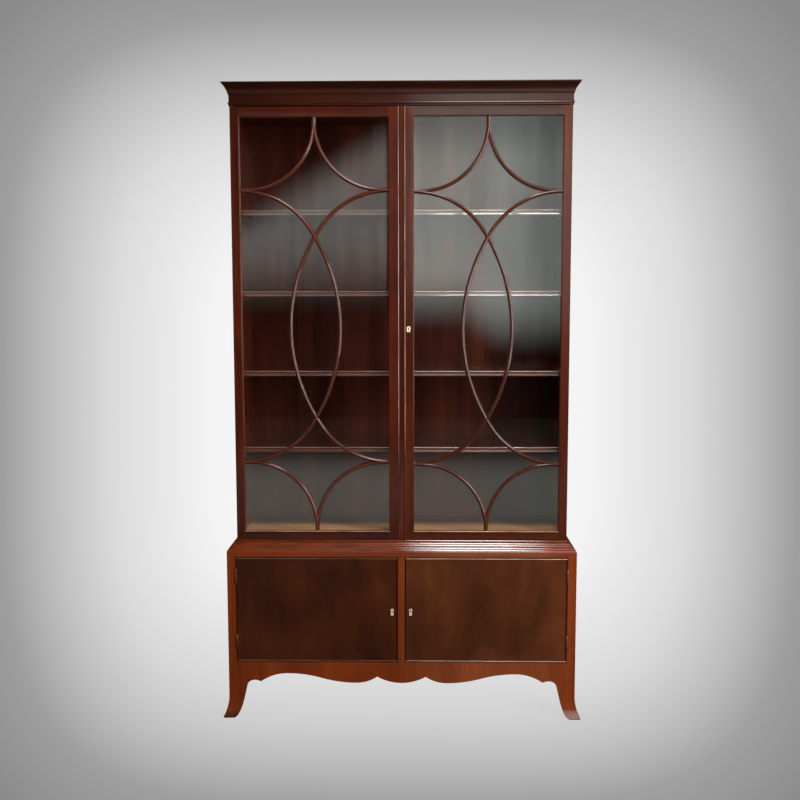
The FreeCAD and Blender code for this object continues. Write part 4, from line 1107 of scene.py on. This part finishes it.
def make_world():
    """The ground for the camera and through the glass, a dim sheen in polish, soft light otherwise."""
    world = bpy.data.worlds.new("studio")
    bpy.context.scene.world = world
    world.use_nodes = True
    g = Graph(world.node_tree)
    direction = g.add("TexCoord", output=g.GENERATED)
    path = g.new("LightPath").outputs
    x, y, z = g.split(direction)
    sheen = g.ramp(g.spread(z, -0.2, 1.0), [(place, grey(level)) for place, level in SHEEN])
    soft = g.add("Background", grey(1.0), SOFT_LIGHT)
    seen = g.add("Background", backdrop_colour(g, direction), 1.0)
    mirrored = g.add("Background", sheen, 1.0)
    lit = g.add("MixShader", path["Is Glossy Ray"], soft, mirrored)
    in_view = g.math("MAXIMUM", path["Is Camera Ray"], path["Is Transmission Ray"])
    g.add("OutputWorld", g.add("MixShader", in_view, lit, seen))


def flat_sheet(corners, material):
    mesh = bpy.data.meshes.new(material.name)
    mesh.from_pydata(corners, [], [(0, 1, 2, 3)])
    mesh.materials.append(material)
    return link(material.name, mesh)


def make_floor():
    """A floor that shows as the ground, faintly shaded by the cabinet. Polish mirrors a lit strip
    of it in front."""
    material, g = new_material("studio_floor")
    place = g.place()
    x, y, z = g.split(place)
    colour = backdrop_colour(g, g.vector("NORMALIZE", g.vector("SUBTRACT", place, CAMERA_PLACE)))
    path = g.new("LightPath").outputs
    glow = g.add("Emission", colour, 1.0)
    shaded = g.add("BsdfDiffuse", colour)
    near = g.spread(g.vector("LENGTH", place, output=1), 0.8, 2.4, 0.045, 0.0)
    seen = g.add("MixShader", near, glow, shaded)
    strip_light = g.times(g.step(y, -2.6, -3.6), g.step(y, -4.6, -6.6, 1.0, 0.0))
    mirrored = g.add("Emission", FLOOR_STRIP, g.plus(g.times(strip_light, 0.75), 0.04))
    plain = g.add("BsdfDiffuse", grey(FLOOR_GREY))
    plain = g.add("MixShader", path["Is Glossy Ray"], plain, mirrored)
    g.add("OutputMaterial", g.add("MixShader", path["Is Camera Ray"], plain, seen))
    corners = [(x * FLOOR_HALF, y * FLOOR_HALF, 0) for x, y in ((-1, -1), (1, -1), (1, 1), (-1, 1))]
    flat_sheet(corners, material)


def make_card():
    """A soft panel behind the camera, which the panes mirror in their upper halves."""
    material, g = new_material("soft_panel")
    place = g.place()
    x, y, z = g.split(place)
    slope = g.minus(z, g.times(x, 0.62))
    left = g.times(g.step(slope, 2.82, 3.24, 1.0, 0.0), g.step(z, 1.3, 2.1, 0.0, 0.46))
    left = g.times(left, g.times(g.step(x, -1.58, -1.5), g.step(x, -0.26, -0.2, 1.0, 0.0)))
    right = g.times(g.step(x, 0.85, 1.25, 1.0, 0.66), g.step(z, 2.6, 3.1, 1.0, 0.6))
    lifted = g.plus(z, g.times(g.step(x, 0.35, 0.8), 0.22))
    right = g.times(g.times(right, g.step(lifted, 1.16, 1.78)), g.step(x, -0.02, 0.03))
    share = g.step(x, -0.15, -0.05)
    level = g.plus(g.times(right, share), g.times(left, g.minus(1.0, share)))
    streaks = g.spread(g.noise(place, (7, 7, 0.6), 3.0, 0.6), 0.3, 0.7, 0.78, 1.12)
    strength = g.times(g.times(level, streaks), PANEL_STRENGTH)
    g.add("OutputMaterial", g.add("Emission", srgb(238, 246, 240), strength))
    x0, x1, z0, z1, y = PANEL
    card = flat_sheet([(x0, y, z0), (x1, y, z0), (x1, y, z1), (x0, y, z1)], material)
    card.visible_camera = card.visible_diffuse = False


def make_camera():
    data = bpy.data.cameras.new("photo_camera")
    data.lens = LENS
    data.sensor_width = SENSOR_WIDTH
    data.clip_end = 100
    camera = link("photo_camera", data)
    turn = Matrix((RIGHT, UP, -FORWARD)).transposed().to_4x4()
    camera.matrix_world = Matrix.Translation(CAMERA_PLACE) @ turn
    bpy.context.scene.camera = camera


make_world()
make_floor()
make_card()
for name, place, target, size, power in LAMPS:
    data = bpy.data.lights.new(name, "AREA")
    data.shape = "RECTANGLE"
    data.size, data.size_y = size
    data.energy = power
    data.color = LAMP_COLOUR
    item = link(name, data)
    item.location = place
    item.rotation_euler = (Vector(target) - Vector(place)).to_track_quat("-Z", "Y").to_euler()
make_camera()
bpy.context.scene.view_settings.view_transform = "Standard"
